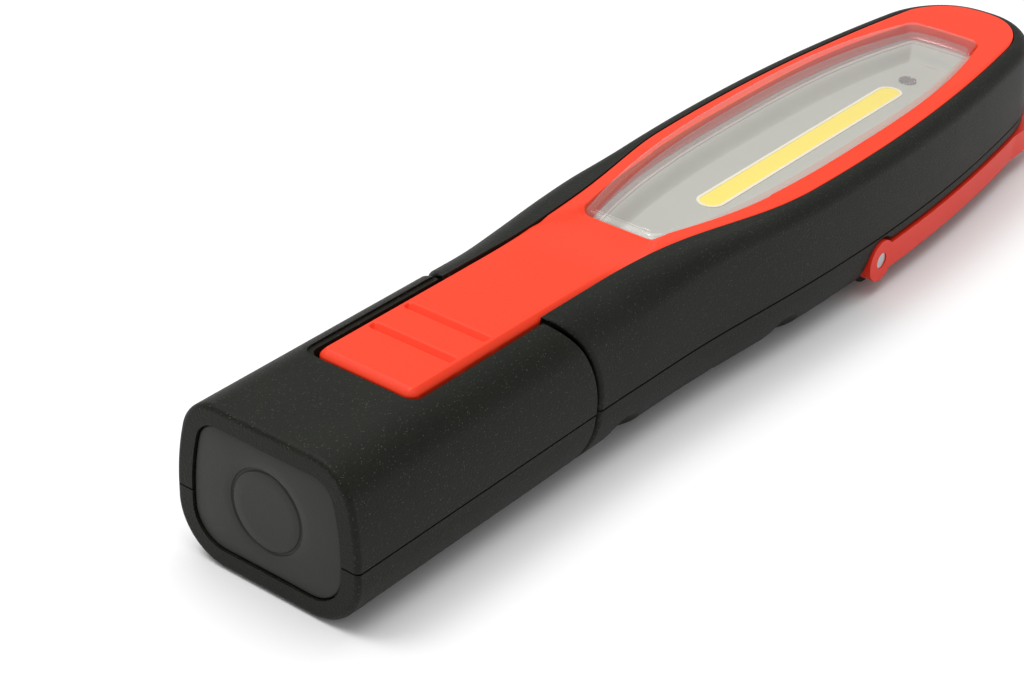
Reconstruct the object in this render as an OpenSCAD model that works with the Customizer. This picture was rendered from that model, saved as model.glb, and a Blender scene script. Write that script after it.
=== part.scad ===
// Rechargeable stick-type work light: handle with a tilting magnetic base, a
// raised clear lens over a long light strip, and a swinging hanging bail.
// X runs from the magnetic end to the tip, Z points out of the lens.

/* [Housing section] */
// Half-width of the handle at the shell seam
handle_half_width = 19; // [18.5:0.25:20]
// Height of the front face above the seam
front_height = 17.5; // [17.2:0.1:18.5]
// Depth of the rear face below the seam
rear_depth = 12.2; // [12:0.1:14]
// Radius of the front corners
front_corner = 8; // [6:0.5:8.5]
// Radius of the front corners at the head
head_corner = 3.2; // [2.8:0.1:3.6]
// Radius of the rear corners
rear_corner = 10; // [8:0.5:10.5]
// Radius of the barrel-shaped sides
side_radius = 45; // [42:1:80]
// Radius of the flatter sides of the head
head_side_radius = 110; // [90:5:200]
// Wall thickness of the moulded shells
wall = 2.2; // [2:0.1:2.4]
// Width of the seam groove between front and rear shells
seam_gap = 0.3; // [0.2:0.05:0.5]
// Depth of the seam groove
seam_depth = 0.6; // [0.4:0.1:1]

/* [Head] */
// Distance from the magnetic end to the tip of the housing
housing_length = 226; // [224:1:232]
// Greatest half-width of the head at the seam
head_half_width = 22.1; // [21.8:0.1:23.5]
// Distance from the tip of the housing to the widest place of the head
head_reach = 81; // [79:1:83]
// Radius of the long curve of the head in plan
head_curve = 423; // [400:1:600]
// Softness of the flare between handle and head
flare_softness = 0.75; // [0.5:0.05:1]
// Length of the rounded tip
tip_length = 18; // [16:0.5:20]
// Roundness power of the tip
tip_power = 2.4; // [2.2:0.1:2.8]

/* [Base hinge] */
// Distance from the magnetic end to the hinge axis
hinge_x = 39.2; // [38.5:0.1:40]
// Radius of the round end of the base about the hinge axis
base_end_radius = 20.3; // [20:0.1:20.6]
// Gap between base and housing along that round end
ring_gap = 0.7; // [0.5:0.05:1]
// Half-width of the slot in the base
slot_half_width = 11; // [10.8:0.1:11.4]
// Distance from the magnetic end to the near edge of the slot
slot_start = 21.9; // [21:0.1:23]
// Side clearance between slot and hinge arm
arm_clearance = 0.6; // [0.5:0.05:0.8]
// Clearance of the arm's round knuckle to the rear face
knuckle_inset = 0.3; // [0.2:0.05:0.6]
// Diameter of the hinge pin
hinge_pin_d = 5; // [4:0.5:6]
// Radial running clearance of the hinge pin
pin_clearance = 0.05; // [0.03:0.01:0.08]

/* [Magnetic end] */
// Rim width around the magnet pad
rim_width = 3.5; // [3.2:0.1:4.5]
// Depth of the pad's face below the rim
pad_recess = 0.4; // [0.2:0.1:0.8]
// Thickness of the pad's face plate
pad_thickness = 2; // [1.5:0.1:2.6]
// Clearance round the pad
pad_gap = 0.15; // [0.1:0.05:0.3]
// Thickness of the magnet
magnet_thickness = 5; // [4:0.5:6]
// Width of the magnet
magnet_width = 24; // [16:1:25]
// Height of the magnet
magnet_height = 14; // [10:1:16]
// Thickness of the steel keeper behind the magnet
keeper_thickness = 1.5; // [1:0.1:2.5]

/* [Front panel] */
// Half-width of the red panel along the handle
panel_half_width = 10.1; // [9.8:0.05:10.2]
// Width of the black rim beside the panel at the head
panel_margin = 4.4; // [4.2:0.1:5]
// Height of the panel's plateau above the seam
plateau_height = 17.67; // [17.4:0.05:18.5]
// Width of the bevel along the plateau
bevel = 1; // [0.6:0.1:1.4]
// Drop of that bevel
bevel_drop = 0.85; // [0.4:0.05:1.2]
// Clearance between tongue and slot end
tongue_clearance = 0.6; // [0.4:0.1:1]
// Gap round the panel in its recess
panel_gap = 0.25; // [0.15:0.05:0.4]
// Height of the ledge that carries the panel
ledge_height = 14; // [13.8:0.05:14.2]
// Thickness of that ledge
ledge_thickness = 1.8; // [1.5:0.1:2]
// Width of that ledge
ledge_width = 1.9; // [1.6:0.1:2.2]
// Width of the thumb grooves across the tongue
groove_width = 2; // [1.2:0.1:2.6]
// Depth of the thumb grooves
groove_depth = 0.8; // [0.4:0.1:1.2]

/* [Lens and light] */
// Distance from the lens to the tip of the housing
lens_margin = 20.4; // [19:0.1:21]
// Length of the lens
lens_length = 116; // [112:0.5:117]
// Half-width of the lens at its middle
lens_half_width = 13.85; // [13.2:0.05:14]
// How much narrower the lens is at its ends
lens_taper = 6.1; // [5.5:0.1:6.5]
// Height of the lens face at its middle
lens_height = 18.6; // [18.2:0.1:19.4]
// Drop of the lens face towards its ends
lens_drop = 1.4; // [0.8:0.1:1.8]
// Wall thickness of the lens
lens_wall = 1.6; // [1.2:0.1:2]
// Width of the lens flange
flange_width = 1.2; // [0.9:0.1:1.4]
// Thickness of the lens flange
flange_thickness = 1.2; // [1:0.1:1.4]
// Thickness of the lens seal
seal_thickness = 0.6; // [0.4:0.1:0.8]
// Distance from the light strip to the far end of the lens
strip_margin = 19.1; // [16:0.1:22]
// Length of the light strip
strip_length = 70; // [60:1:72]
// Width of the light strip with its white border
strip_width = 5.5; // [4.5:0.1:6.5]
// Width of the white border
border_width = 0.6; // [0.4:0.1:1]
// Height of the light strip's face above the seam
strip_height = 10.2; // [10.1:0.05:10.4]
// Thickness of the border above its board
border_height = 0.6; // [0.4:0.1:0.7]
// Thickness of the aluminium strip board
strip_board = 1; // [0.8:0.1:1]

/* [Bail] */
// Distance from the tip of the housing to the bail's pivot
bail_reach = 80; // [77:0.5:81]
// Depth of the bail's pivot below the seam
bail_depth = 5.3; // [5.2:0.1:5.8]
// Height of the bail's bar
bail_height = 5.4; // [4.5:0.1:5.8]
// Thickness of the bail's arms
bail_thickness = 2.7; // [2.4:0.1:2.8]
// How far the bail stands proud of the housing
bail_proud = 0.4; // [0.2:0.1:0.6]
// Space between the bail and the tip of the housing
bail_space = 6; // [5:0.5:12]
// Thickness of the bail's cross bar
bail_bar = 4.5; // [3.5:0.1:6]
// Radius of the bail's round eyes
eye_radius = 4.2; // [4:0.1:4.4]
// Clearance round the bail in its recess
bail_clearance = 0.6; // [0.5:0.05:0.8]
// Diameter of the bail's pivot pins
bail_pin_d = 3.2; // [2.5:0.1:3.5]

/* [Cell and electronics] */
// Diameter of the cell
cell_d = 18.2; // [16:0.1:18.3]
// Length of the cell
cell_length = 65; // [60:0.5:65.5]
// Diameter of the power button
button_d = 12.6; // [10:0.2:14]
// Radial clearance of the power button
button_clearance = 0.3; // [0.25:0.05:0.5]
// Travel of the power button
button_travel = 0.6; // [0.4:0.1:0.8]
// Distance from the near end of the control board to the power button
button_inset = 11.5; // [9.5:0.5:15.5]
// Distance from the magnetic end to the charging socket
socket_x = 75; // [74:0.5:80]
// Diameter of the insulated leads
lead_d = 1.1; // [0.9:0.1:1.2]
// Diameter of the housing screws' shanks
screw_d = 2.2; // [2:0.1:2.6]

/* [Hidden] */
eps = 0.01;

// heights shared by several pieces
hinge_z = (front_height - rear_depth) / 2;
half_height = (front_height + rear_depth) / 2;
overall_length = housing_length + bail_space + bail_bar;
body_end_radius = base_end_radius + ring_gap;
knuckle_radius = half_height - knuckle_inset;
arm_half_width = slot_half_width - arm_clearance;
head_top = 15.95;
step_depth = bail_thickness - bail_proud + bail_clearance;
ledge_z = 2;
inner_floor = wall - rear_depth;
board_top = strip_height - border_height;
board_bottom = board_top - strip_board;
flange_top = ledge_height;
flange_bottom = flange_top - flange_thickness;
seal_bottom = flange_bottom - seal_thickness;
lens_end = housing_length - lens_margin;
lens_start = lens_end - lens_length;
strip_start = lens_end - strip_margin - strip_length;
lens_middle = (lens_start + lens_end) / 2;
lens_corner = 2.5;
function lens_width(x) =
  lens_half_width - lens_taper * pow(abs(x - lens_middle) / (lens_length / 2), 2.7);
lens_cy = lens_width(lens_start + lens_corner) - lens_corner;
cell_z = inner_floor + cell_d / 2 + 0.15;
cell_start = hinge_x + body_end_radius + 6.3;
tip_base = housing_length - tip_length;
head_centre = housing_length - head_reach;
bail_x = housing_length - bail_reach;
neck = hinge_x + body_end_radius + 1.8;
shell_start = hinge_x + 7.8;
board_x = cell_start + cell_length + 5;
board_end = tip_base - 9;
button_x = board_x + button_inset;
// place between the neck of the handle and the lens
function before_lens(d) = neck + (lens_start - neck) * d / 27.6;

function blend(a, b, x) = let (t = min(1, max(0, (x - a) / (b - a)))) t * t * (3 - 2 * t);

// plan half-width of the housing at the seam
function flare(x) =
  let (h = head_half_width - pow(x - head_centre, 2) / (2 * head_curve))
  let (m = (handle_half_width + h) / 2)
  let (d = (handle_half_width - h) / 2)
  m + sqrt(d * d + flare_softness * flare_softness);
function head_width(x) = x < neck
  ? handle_half_width
  : x < head_centre
    ? handle_half_width + (flare(x) - handle_half_width) * blend(neck, before_lens(13), x)
    : flare(head_centre) - pow(x - head_centre, 2) / (2 * head_curve);

// the side stations of the housing, then the angles round its tip
side_x = concat([shell_start, neck - 8, neck],
  [for (d = [6, 12, 18, 25, 32, 39, 46, 53, 60, 68, 76]) neck + d * (bail_x - 0.7 - neck) / 83.3],
  [bail_x - 0.7],
  [for (d = [0, 9.3, 19.3, 30.3, 41.3, 51.3, 61.3])
    bail_x + 0.7 + d * (tip_base - bail_x - 0.7) / 61.3]);
tip_a = [14, 27, 40, 52, 63, 73, 82];
function tip_pt(a) = [
  tip_base + tip_length * pow(sin(a), 2 / tip_power),
  head_width(tip_base + tip_length * pow(sin(a), 2 / tip_power)) * pow(cos(a), 2 / tip_power)
];
plan = concat([for (x = side_x) [x, head_width(x)]], [for (a = tip_a) tip_pt(a)]);
count = len(plan);
function unit(v) = v / norm(v);
normal = [for (i = [0:count - 1])
  let (a = plan[max(0, i - 1)])
  let (b = plan[min(count - 1, i + 1)])
  let (d = unit(b - a))
  i < 2 ? [0, 1] : [-d[1], d[0]]];

// front face height, corner and side radius along the housing
function top_at(x) = front_height - (front_height - head_top) * blend(before_lens(20), lens_start + 28.4, x);
function corner_at(x) = front_corner + (head_corner - front_corner) * blend(neck, lens_start + 14.4, x);
function side_at(x) = side_radius + (head_side_radius - side_radius) * blend(neck, lens_start + 14.4, x);
// inset of the panel's edge from the seam outline
function panel_inset(x) =
  let (near = head_width(x) - panel_half_width)
  near + (panel_margin - near) * blend(lens_start - 19.6, lens_start + 36.4, x);
function step_at(x) = x > bail_x ? step_depth : 0;

// [inset, height] points of the front half section, lying t inside the skin
function front_side(x, t, from) =
  let (rs = side_at(x) - t)
  let (rc = corner_at(x) - t)
  let (f = top_at(x) - t)
  let (a = asin((f - rc) / (rs - rc)))
  let (s = asin(from / rs))
  [for (k = [0:3]) let (q = s + (a - s) * k / 3) [t + rs * (1 - cos(q)), rs * sin(q)]];
function front_turn(x, t, last) =
  let (rs = side_at(x) - t)
  let (rc = corner_at(x) - t)
  let (f = top_at(x) - t)
  let (a = asin((f - rc) / (rs - rc)))
  let (c = t + rs - (rs - rc) * cos(a))
  [for (k = [1:6]) let (q = a + (last - a) * k / 6) [c - rc * cos(q), f - rc + rc * sin(q)]];
// [inset, height] points of the rear half section
function rear_turn(s, t) =
  let (r = rear_corner - s - t)
  [for (k = [0:7]) let (q = 90 * k / 7)
    [rear_corner - r * cos(q), -(rear_depth - t - r) - r * sin(q)]];

// closed loop of points from an inset and a height for every station
function loop(u, z, near) = concat(
  [for (i = [0:count - 1])
    [i == 0 ? near : plan[i][0] - u[i] * normal[i][0], plan[i][1] - u[i] * normal[i][1], z[i]]],
  [for (j = [0:count - 1])
    let (i = count - 1 - j)
    [i == 0 ? near : plan[i][0] - u[i] * normal[i][0], -plan[i][1] + u[i] * normal[i][1], z[i]]]);
function flat(v) = [for (i = [0:count - 1]) v];

// solid skinned over a stack of loops, closed to a ring or by flat ladders
module skin(rings, ring = false) {
  m = len(rings);
  n = len(rings[0]);
  h = floor(n / 2);
  pts = [for (r = rings) for (p = r) p];
  sides = [for (j = [0:(ring ? m - 1 : m - 2)]) for (i = [0:n - 1])
    let (a = j * n + i)
    let (b = j * n + (i + 1) % n)
    let (c = ((j + 1) % m) * n + (i + 1) % n)
    let (d = ((j + 1) % m) * n + i)
    for (t = [[a, b, c], [a, c, d]]) t];
  first = ring ? [] : [for (i = [0:h - 2])
    for (t = [[i, n - 2 - i, i + 1], [i, n - 1 - i, n - 2 - i]]) t];
  k = (m - 1) * n;
  last = ring ? [] : [for (i = [0:h - 2])
    for (t = [[k + i, k + i + 1, k + n - 2 - i], [k + i, k + n - 2 - i, k + n - 1 - i]]) t];
  polyhedron(points = pts, faces = concat(sides, first, last), convexity = 10);
}

// cylinders along Y and X about a point of the side view
module along_y(x, z, r, y0, y1) {
  translate([x, y1, z]) rotate([90, 0, 0]) cylinder(r = r, h = y1 - y0, $fn = 96);
}
module along_x(x0, x1, y, z, r) {
  translate([x0, y, z]) rotate([0, 90, 0]) cylinder(r = r, h = x1 - x0, $fn = 64);
}
module box(x0, x1, y0, y1, z0, z1) {
  translate([x0, y0, z0]) cube([x1 - x0, y1 - y0, z1 - z0]);
}
module both_sides() {
  children();
  mirror([0, 1, 0]) children();
}

// handle section in the YZ plane, t inside the skin: front, rear or whole
function half_front(t) = concat(front_side(40, t, 0), front_turn(40, t, 90));
function half_rear(t) = rear_turn(0, t);
function to_yz(list) = concat(
  [for (p = list) [handle_half_width - p[0], p[1]]],
  [for (k = [0:len(list) - 1])
    let (p = list[len(list) - 1 - k]) [p[0] - handle_half_width, p[1]]]);
module section(list, x0, x1) {
  translate([x0, 0, 0]) rotate([90, 0, 90]) linear_extrude(x1 - x0) polygon(to_yz(list));
}
module front_half(t, x0, x1, from = 0) {
  intersection() {
    section(half_front(t), x0, x1);
    box(x0 - 1, x1 + 1, -50, 50, from, 50);
  }
}
module rear_half(t, x0, x1, from = 0) {
  difference() {
    union() {
      section(half_rear(t), x0, x1);
      box(x0, x1, t - handle_half_width, handle_half_width - t, rear_corner - rear_depth - eps, 0);
    }
    box(x0 - 1, x1 + 1, -50, 50, -from, 50);
  }
}
module seam_groove(x0, x1, side) {
  difference() {
    box(x0 - 1, x1 + 1, -50, 50, side > 0 ? -1 : -seam_gap / 2, side > 0 ? seam_gap / 2 : 1);
    box(x0 + seam_depth, x1 + 2, seam_depth - handle_half_width, handle_half_width - seam_depth,
      -2, 2);
  }
}

// ---------------------------------------------------------------- base
base_wall_y = 13;
tower_x = 16.5;
tower_y = 10.5;
pocket_end = pad_recess + pad_thickness + magnet_thickness + keeper_thickness + 0.2;
module base_slot() {
  box(slot_start, 80, -slot_half_width, slot_half_width, -50, 50);
  box(slot_start, 80, -slot_half_width - 0.9, slot_half_width + 0.9, front_height - 0.8, 50);
}
module base_bore() {
  along_y(hinge_x, hinge_z, hinge_pin_d / 2 + 0.02, -16.6, 16.6);
  box(hinge_x - 2, hinge_x + 2, -16.6, 16.6, -0.5, hinge_z);
}
module base_front_shell() {
  color([0.11, 0.1, 0.09]) {
    base_front_skin();
    // screw towers that meet those of the rear shell
    for (y = [-1, 1]) translate([tower_x, tower_y * y, 0]) difference() {
      cylinder(r = 2.9, h = 13, $fn = 48);
      translate([0, 0, -1]) cylinder(r = 1.12, h = 11, $fn = 32);
    }
  }
}
module base_front_skin() {
  difference() {
    intersection() {
      front_half(0, 0, neck);
      union() {
        along_y(hinge_x, hinge_z, base_end_radius, -30, 30);
        box(-1, hinge_x, -30, 30, -50, 50);
      }
    }
    seam_groove(0, neck, 1);
    base_slot();
    base_bore();
    // pad recess, magnet pocket and hollow block
    front_half(rim_width, -1, pad_recess + pad_thickness + eps, -1);
    box(0, pocket_end, -magnet_width / 2 - 0.2, magnet_width / 2 + 0.2, -1,
      hinge_z + magnet_height / 2 + 0.2);
    box(pocket_end - eps, slot_start - 2, -14, 14, -1, 12.5);
    // hollow cheeks beside the hinge pin
    both_sides() difference() {
      box(slot_start + 1, hinge_x + 14, base_wall_y, 16.4, -1, 11);
      along_y(hinge_x, hinge_z, hinge_pin_d / 2 + 2.2, 12, 20);
    }
  }
}
module base_screw_holes(r, z0, z1) {
  for (y = [-1, 1]) translate([tower_x, tower_y * y, z0]) cylinder(r = r, h = z1 - z0, $fn = 32);
}
module base_rear_shell() {
  color([0.1, 0.09, 0.08])
  difference() {
    union() {
      difference() {
        intersection() {
          rear_half(0, 0, neck);
          union() {
            along_y(hinge_x, hinge_z, base_end_radius, -30, 30);
            box(-1, hinge_x, -30, 30, -50, 50);
          }
        }
        seam_groove(0, neck, -1);
        base_slot();
        rear_half(rim_width, -1, pad_recess + pad_thickness + eps, -1);
        box(0, pocket_end, -magnet_width / 2 - 0.2, magnet_width / 2 + 0.2,
          hinge_z - magnet_height / 2 - 0.2, 1);
        box(pocket_end - eps, slot_start - 2, -14, 14, -9.5, 1);
        both_sides() box(slot_start + 1, hinge_x + 14, base_wall_y, 16.4, -7.5, 1);
      }
      // screw towers
      for (y = [-1, 1]) translate([tower_x, tower_y * y, -10]) cylinder(r = 2.9, h = 10, $fn = 48);
    }
    base_screw_holes(1.4, -14, 12);
    base_screw_holes(2.5, -14, -8.6);
  }
}
module magnet_pad() {
  t = rim_width + pad_gap;
  color([0.26, 0.26, 0.25])
  difference() {
    union() {
      front_half(t, pad_recess, pad_recess + pad_thickness);
      rear_half(t, pad_recess, pad_recess + pad_thickness);
    }
    // shallow grip ring on the face
    translate([pad_recess, 0, hinge_z]) rotate([0, -90, 0]) difference() {
      cylinder(r = 7.4, h = 0.6, center = true, $fn = 64);
      cylinder(r = 6.9, h = 1, center = true, $fn = 64);
    }
  }
}
module base_magnet() {
  x0 = pad_recess + pad_thickness;
  color([0.62, 0.63, 0.65])
  box(x0, x0 + magnet_thickness, -magnet_width / 2, magnet_width / 2,
    hinge_z - magnet_height / 2, hinge_z + magnet_height / 2);
}
module magnet_keeper() {
  x0 = pad_recess + pad_thickness + magnet_thickness;
  color([0.5, 0.51, 0.53])
  box(x0, x0 + keeper_thickness, -magnet_width / 2, magnet_width / 2,
    hinge_z - magnet_height / 2, hinge_z + magnet_height / 2);
}
module hinge_pin() {
  color([0.72, 0.73, 0.75])
  along_y(hinge_x, hinge_z, hinge_pin_d / 2, -16.4, 16.4);
}
module friction_washers() {
  color([0.75, 0.74, 0.7])
  both_sides() difference() {
    along_y(hinge_x, hinge_z, 6.5, slot_half_width - arm_clearance + 0.1, slot_half_width);
    along_y(hinge_x, hinge_z, hinge_pin_d / 2 + 0.3, 5, 20);
  }
}
module base_screws() {
  color([0.6, 0.61, 0.63])
  for (y = [-1, 1]) translate([tower_x, tower_y * y, -8.6]) {
    cylinder(r = 1.1, h = 17, $fn = 32);
    difference() {
      translate([0, 0, -1.8]) cylinder(r = 2.2, h = 1.8, $fn = 48);
      translate([0, 0, -2.4]) cylinder(r = 1.2, h = 1.5, $fn = 6);
    }
  }
}

// ---------------------------------------------------------------- housing
collar_start = hinge_x + body_end_radius;
collar_end = collar_start + 4;
module hinge_arm() {
  color([0.13, 0.12, 0.11])
  difference() {
    union() {
      intersection() {
        union() {
          along_y(hinge_x, hinge_z, knuckle_radius, -arm_half_width, arm_half_width);
          box(hinge_x, collar_end, -arm_half_width, arm_half_width, inner_floor + 0.2, 12);
          box(hinge_x, hinge_x + 14.1, -arm_half_width, arm_half_width,
            knuckle_inset - rear_depth, 0);
        }
        box(0, 100, -50, 50, -50, ledge_height);
      }
      // raised pad under the tongue
      box(hinge_x - 12, hinge_x + 14, -7, 7, 12, ledge_height + 1.4);
      difference() {
        union() {
          front_half(wall + 0.15, hinge_x + 14, collar_end);
          rear_half(wall + 0.15, hinge_x + 14, collar_end);
        }
        along_y(hinge_x, hinge_z, body_end_radius + 0.3, -30, 30);
        box(0, 100, -50, 50, ledge_height - ledge_thickness - 0.1, 50);
      }
    }
    along_y(hinge_x, hinge_z, hinge_pin_d / 2 + pin_clearance, -30, 30);
    // hollow between the knuckle and the collar
    box(hinge_x + 6, collar_end + 1, -6, 6, -7, 7);
    // cell side wire opening
    both_sides() box(collar_start - 2, collar_end + 1, arm_half_width + 2, 14, -6, 8);
  }
}

// screws beside the lens stand close to the side wall
screw_at = [for (x = [neck + 34, bail_x - 12, tip_base + 1])
  [x, x < tip_base ? head_width(x) - 4.4 : lens_cy + 4.67]];
boss_radius = 2.45;
module screw_places() {
  for (p = screw_at) for (s = [-1, 1]) translate([p[0], s * p[1], 0]) children();
}
screw_seat = -6.6;
board_z = -1.6;
// finger scallops across the rear corners
scallop_at = [neck + 7, button_x - 32.5];
scallop_length = 9.4;
scallop_depth = 1.25;
scallop_radius = (pow(scallop_length / 2, 2) + pow(scallop_depth, 2)) / (2 * scallop_depth);
window_x0 = socket_x - 9;
window_x1 = socket_x + 9;
window_z0 = 1.6;
window_z1 = 11.2;

module front_shell() {
  g = seam_gap / 2;
  outer = [for (k = [0:3]) loop(
    [for (p = plan) front_side(p[0], 0, g)[k][0]],
    [for (p = plan) front_side(p[0], 0, g)[k][1]], shell_start)];
  turn = [for (k = [0:5]) loop(
    [for (p = plan) front_turn(p[0], 0, 84)[k][0]],
    [for (p = plan) front_turn(p[0], 0, 84)[k][1]], shell_start)];
  edge = [for (p = plan) panel_inset(p[0]) - panel_gap];
  // the ledge keeps clear of the lens flange
  lip = [for (p = plan) min(panel_inset(p[0]) + ledge_width,
    head_width(p[0]) - lens_width(p[0]) - flange_width - 0.3)];
  low = ledge_height - ledge_thickness;
  inner = [for (p = plan) wall + side_at(p[0]) - sqrt(pow(side_at(p[0]), 2) - low * low)];
  half = [for (p = plan) wall + side_at(p[0]) - sqrt(pow(side_at(p[0]), 2) - low * low / 4)];
  color([0.2, 0.2, 0.18])
  difference() {
    union() {
      skin(concat(outer, turn, [
        loop(edge, [for (p = plan) top_at(p[0])], shell_start + 0.2),
        loop(edge, flat(ledge_height), shell_start + 0.2),
        loop(lip, flat(ledge_height), shell_start + 1),
        loop(lip, flat(low), shell_start + 1),
        loop(inner, flat(low), shell_start + 1.5),
        loop(half, flat(low / 2), shell_start + 1.5),
        loop(flat(wall), flat(0), shell_start + 1.5),
        loop(flat(seam_depth + 0.1), flat(0), shell_start + 0.8),
        loop(flat(seam_depth), flat(g), shell_start + 0.5)
      ]), true);
      screw_places() cylinder(r = 2.7, h = low + 0.5, $fn = shell_start + 1);
    }
    along_y(hinge_x, hinge_z, body_end_radius, -30, 30);
    box(window_x0, window_x1, 10, 30, window_z0, window_z1);
    screw_places() translate([0, 0, -1]) cylinder(r = screw_d / 2 + 0.02, h = 9, $fn = 32);
  }
}

module rear_shell() {
  g = seam_gap / 2;
  ti = [for (p = plan) wall + (p[0] > bail_x - 7 ? step_depth - wall + 1.7 : 0)];
  outer = [for (k = [0:7]) loop(
    [for (p = plan) rear_turn(step_at(p[0]), 0)[7 - k][0]],
    [for (p = plan) rear_turn(step_at(p[0]), 0)[7 - k][1]], shell_start)];
  inner = [for (k = [0:7]) loop(
    [for (i = [0:count - 1]) rear_corner - (rear_corner - ti[i]) * cos(90 * k / 7)],
    [for (i = [0:count - 1]) inner_floor + (rear_corner - ti[i]) * (1 - sin(90 * k / 7))],
    shell_start + 3)];
  color([0.18, 0.18, 0.16])
  difference() {
    union() {
      skin(concat(outer, [
        loop([for (p = plan) step_at(p[0])], flat(0.1 - ledge_z), shell_start),
        loop(flat(0), flat(0.2 - ledge_z), shell_start),
        loop(flat(0), flat(-g), shell_start),
        loop(flat(seam_depth), flat(-g), shell_start + 0.4),
        loop(flat(seam_depth + 0.1), flat(0), shell_start + 0.6),
        loop(ti, flat(0), shell_start + 3)
      ], inner));
      screw_places() translate([0, 0, screw_seat - 0.6]) cylinder(r = 2.7, h = 0.6 - screw_seat, $fn = 48);
      post_places() translate([0, 0, inner_floor - 1]) cylinder(r = 2.2, h = board_z - inner_floor + 1, $fn = 32);
      both_sides() along_y(bail_x, -bail_depth, 3.6, pivot_y - 9, pivot_y - step_depth - 0.6);
    }
    along_y(hinge_x, hinge_z, body_end_radius, -30, 30);
    both_sides() {
      along_y(bail_x, -bail_depth, eye_radius + bail_clearance, pivot_y - step_depth + 0.2, 40);
      along_y(bail_x, -bail_depth, bail_pin_d / 2 + 0.02, pivot_y - 8.05, 40);
    }
    both_sides() for (x = scallop_at)
      translate([x, head_width(x) - rear_corner, rear_corner - rear_depth]) rotate([-45, 0, 0])
        translate([0, rear_corner - scallop_depth + scallop_radius, -8]) cylinder(r = scallop_radius, h = 16, $fn = 96);
    screw_places() translate([0, 0, -20]) {
      cylinder(r = screw_d / 2 + 0.2, h = 21, $fn = 32);
      cylinder(r = 2.4, h = 20 + screw_seat, $fn = 48);
    }
    post_places() translate([0, 0, board_z - 6]) cylinder(r = 0.9, h = 8, $fn = 24);
    translate([button_x, 0, -20]) cylinder(r = button_d / 2 + button_clearance, h = 15, $fn = 96);
  }
}
module shell_screws() {
  color([0.62, 0.63, 0.65])
  screw_places() {
    translate([0, 0, screw_seat]) cylinder(r = screw_d / 2, h = 7.5 - screw_seat, $fn = 32);
    difference() {
      translate([0, 0, screw_seat - 1.8]) cylinder(r = 2.1, h = 1.8, $fn = 48);
      translate([0, 0, screw_seat - 2.4]) cylinder(r = 1.2, h = 1.6, $fn = 6);
    }
  }
}

// ---------------------------------------------------------------- front panel
panel_x = concat([slot_start + tongue_clearance, neck - 8],
  [for (d = [4, 12, 18, 25]) before_lens(d)],
  [for (d = [4.4, 11.4, 18.4, 25.4, 32.4, 40.4, 48.4, 57.4, 66.4, 76.4, 87.4, 98.4, 118.4])
    lens_start + d * (tip_base - lens_start) / 118.4]);
panel_plan = concat([for (x = panel_x) [x, head_width(x)]], [for (a = tip_a) tip_pt(a)]);
panel_count = len(panel_plan);
panel_normal = [for (i = [0:panel_count - 1])
  let (a = panel_plan[max(0, i - 1)])
  let (b = panel_plan[min(panel_count - 1, i + 1)])
  let (d = unit(b - a))
  i < 2 ? [0, 1] : [-d[1], d[0]]];
function panel_half(e, z) = [for (i = [0:panel_count - 1])
  let (u = panel_inset(panel_plan[i][0]) + e[i])
  [panel_plan[i][0] - u * panel_normal[i][0], panel_plan[i][1] - u * panel_normal[i][1], z[i]]];
function shift_near(half, d) = [for (i = [0:len(half) - 1])
  i == 0 ? half[0] + [d, 0, 0] : half[i]];
function both_halves(half) = concat(half, [for (j = [0:len(half) - 1])
  let (p = half[len(half) - 1 - j]) [p[0], -p[1], p[2]]]);

// half outline of the lens, grown by u: near corner, long side, far corner, end
lens_side = [0.04, 0.1, 0.165, 0.23, 0.3, 0.37, 0.45, 0.53, 0.61, 0.69, 0.77, 0.85, 0.93];
function lens_xy(u) = concat(
  [for (k = [0:4]) let (q = 22.5 * k)
    [lens_start + lens_corner - (lens_corner + u) * cos(q), lens_cy + (lens_corner + u) * sin(q)]],
  [for (f = lens_side)
    let (x = lens_start + lens_corner + f * (lens_length - 2 * lens_corner)) [x, lens_width(x) + u]],
  [for (k = [0:4]) let (q = 90 - 22.5 * k)
    [lens_end - lens_corner + (lens_corner + u) * cos(q), lens_cy + (lens_corner + u) * sin(q)]],
  [for (f = [0.75, 0.5, 0.25]) [lens_end + u + 0.3 * (1 - f * f), lens_cy * f]]);
function lens_top(x) =
  lens_height - lens_drop * pow((x - lens_middle) / (lens_length / 2), 2);
function lens_loop(u, z, follow = 0) = both_halves([for (p = lens_xy(u))
  [p[0], p[1], follow > 0 ? lens_top(p[0]) - z : z]]);
module lens_outline(u) {
  polygon([for (p = both_halves([for (q = lens_xy(u)) [q[0], q[1], 0]])) [p[0], p[1]]]);
}
module lens_prism(u, z0, z1) {
  translate([0, 0, z0]) linear_extrude(z1 - z0) lens_outline(u);
}

bezel_height = 16.05;
lens_gap = 0.2;
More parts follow.
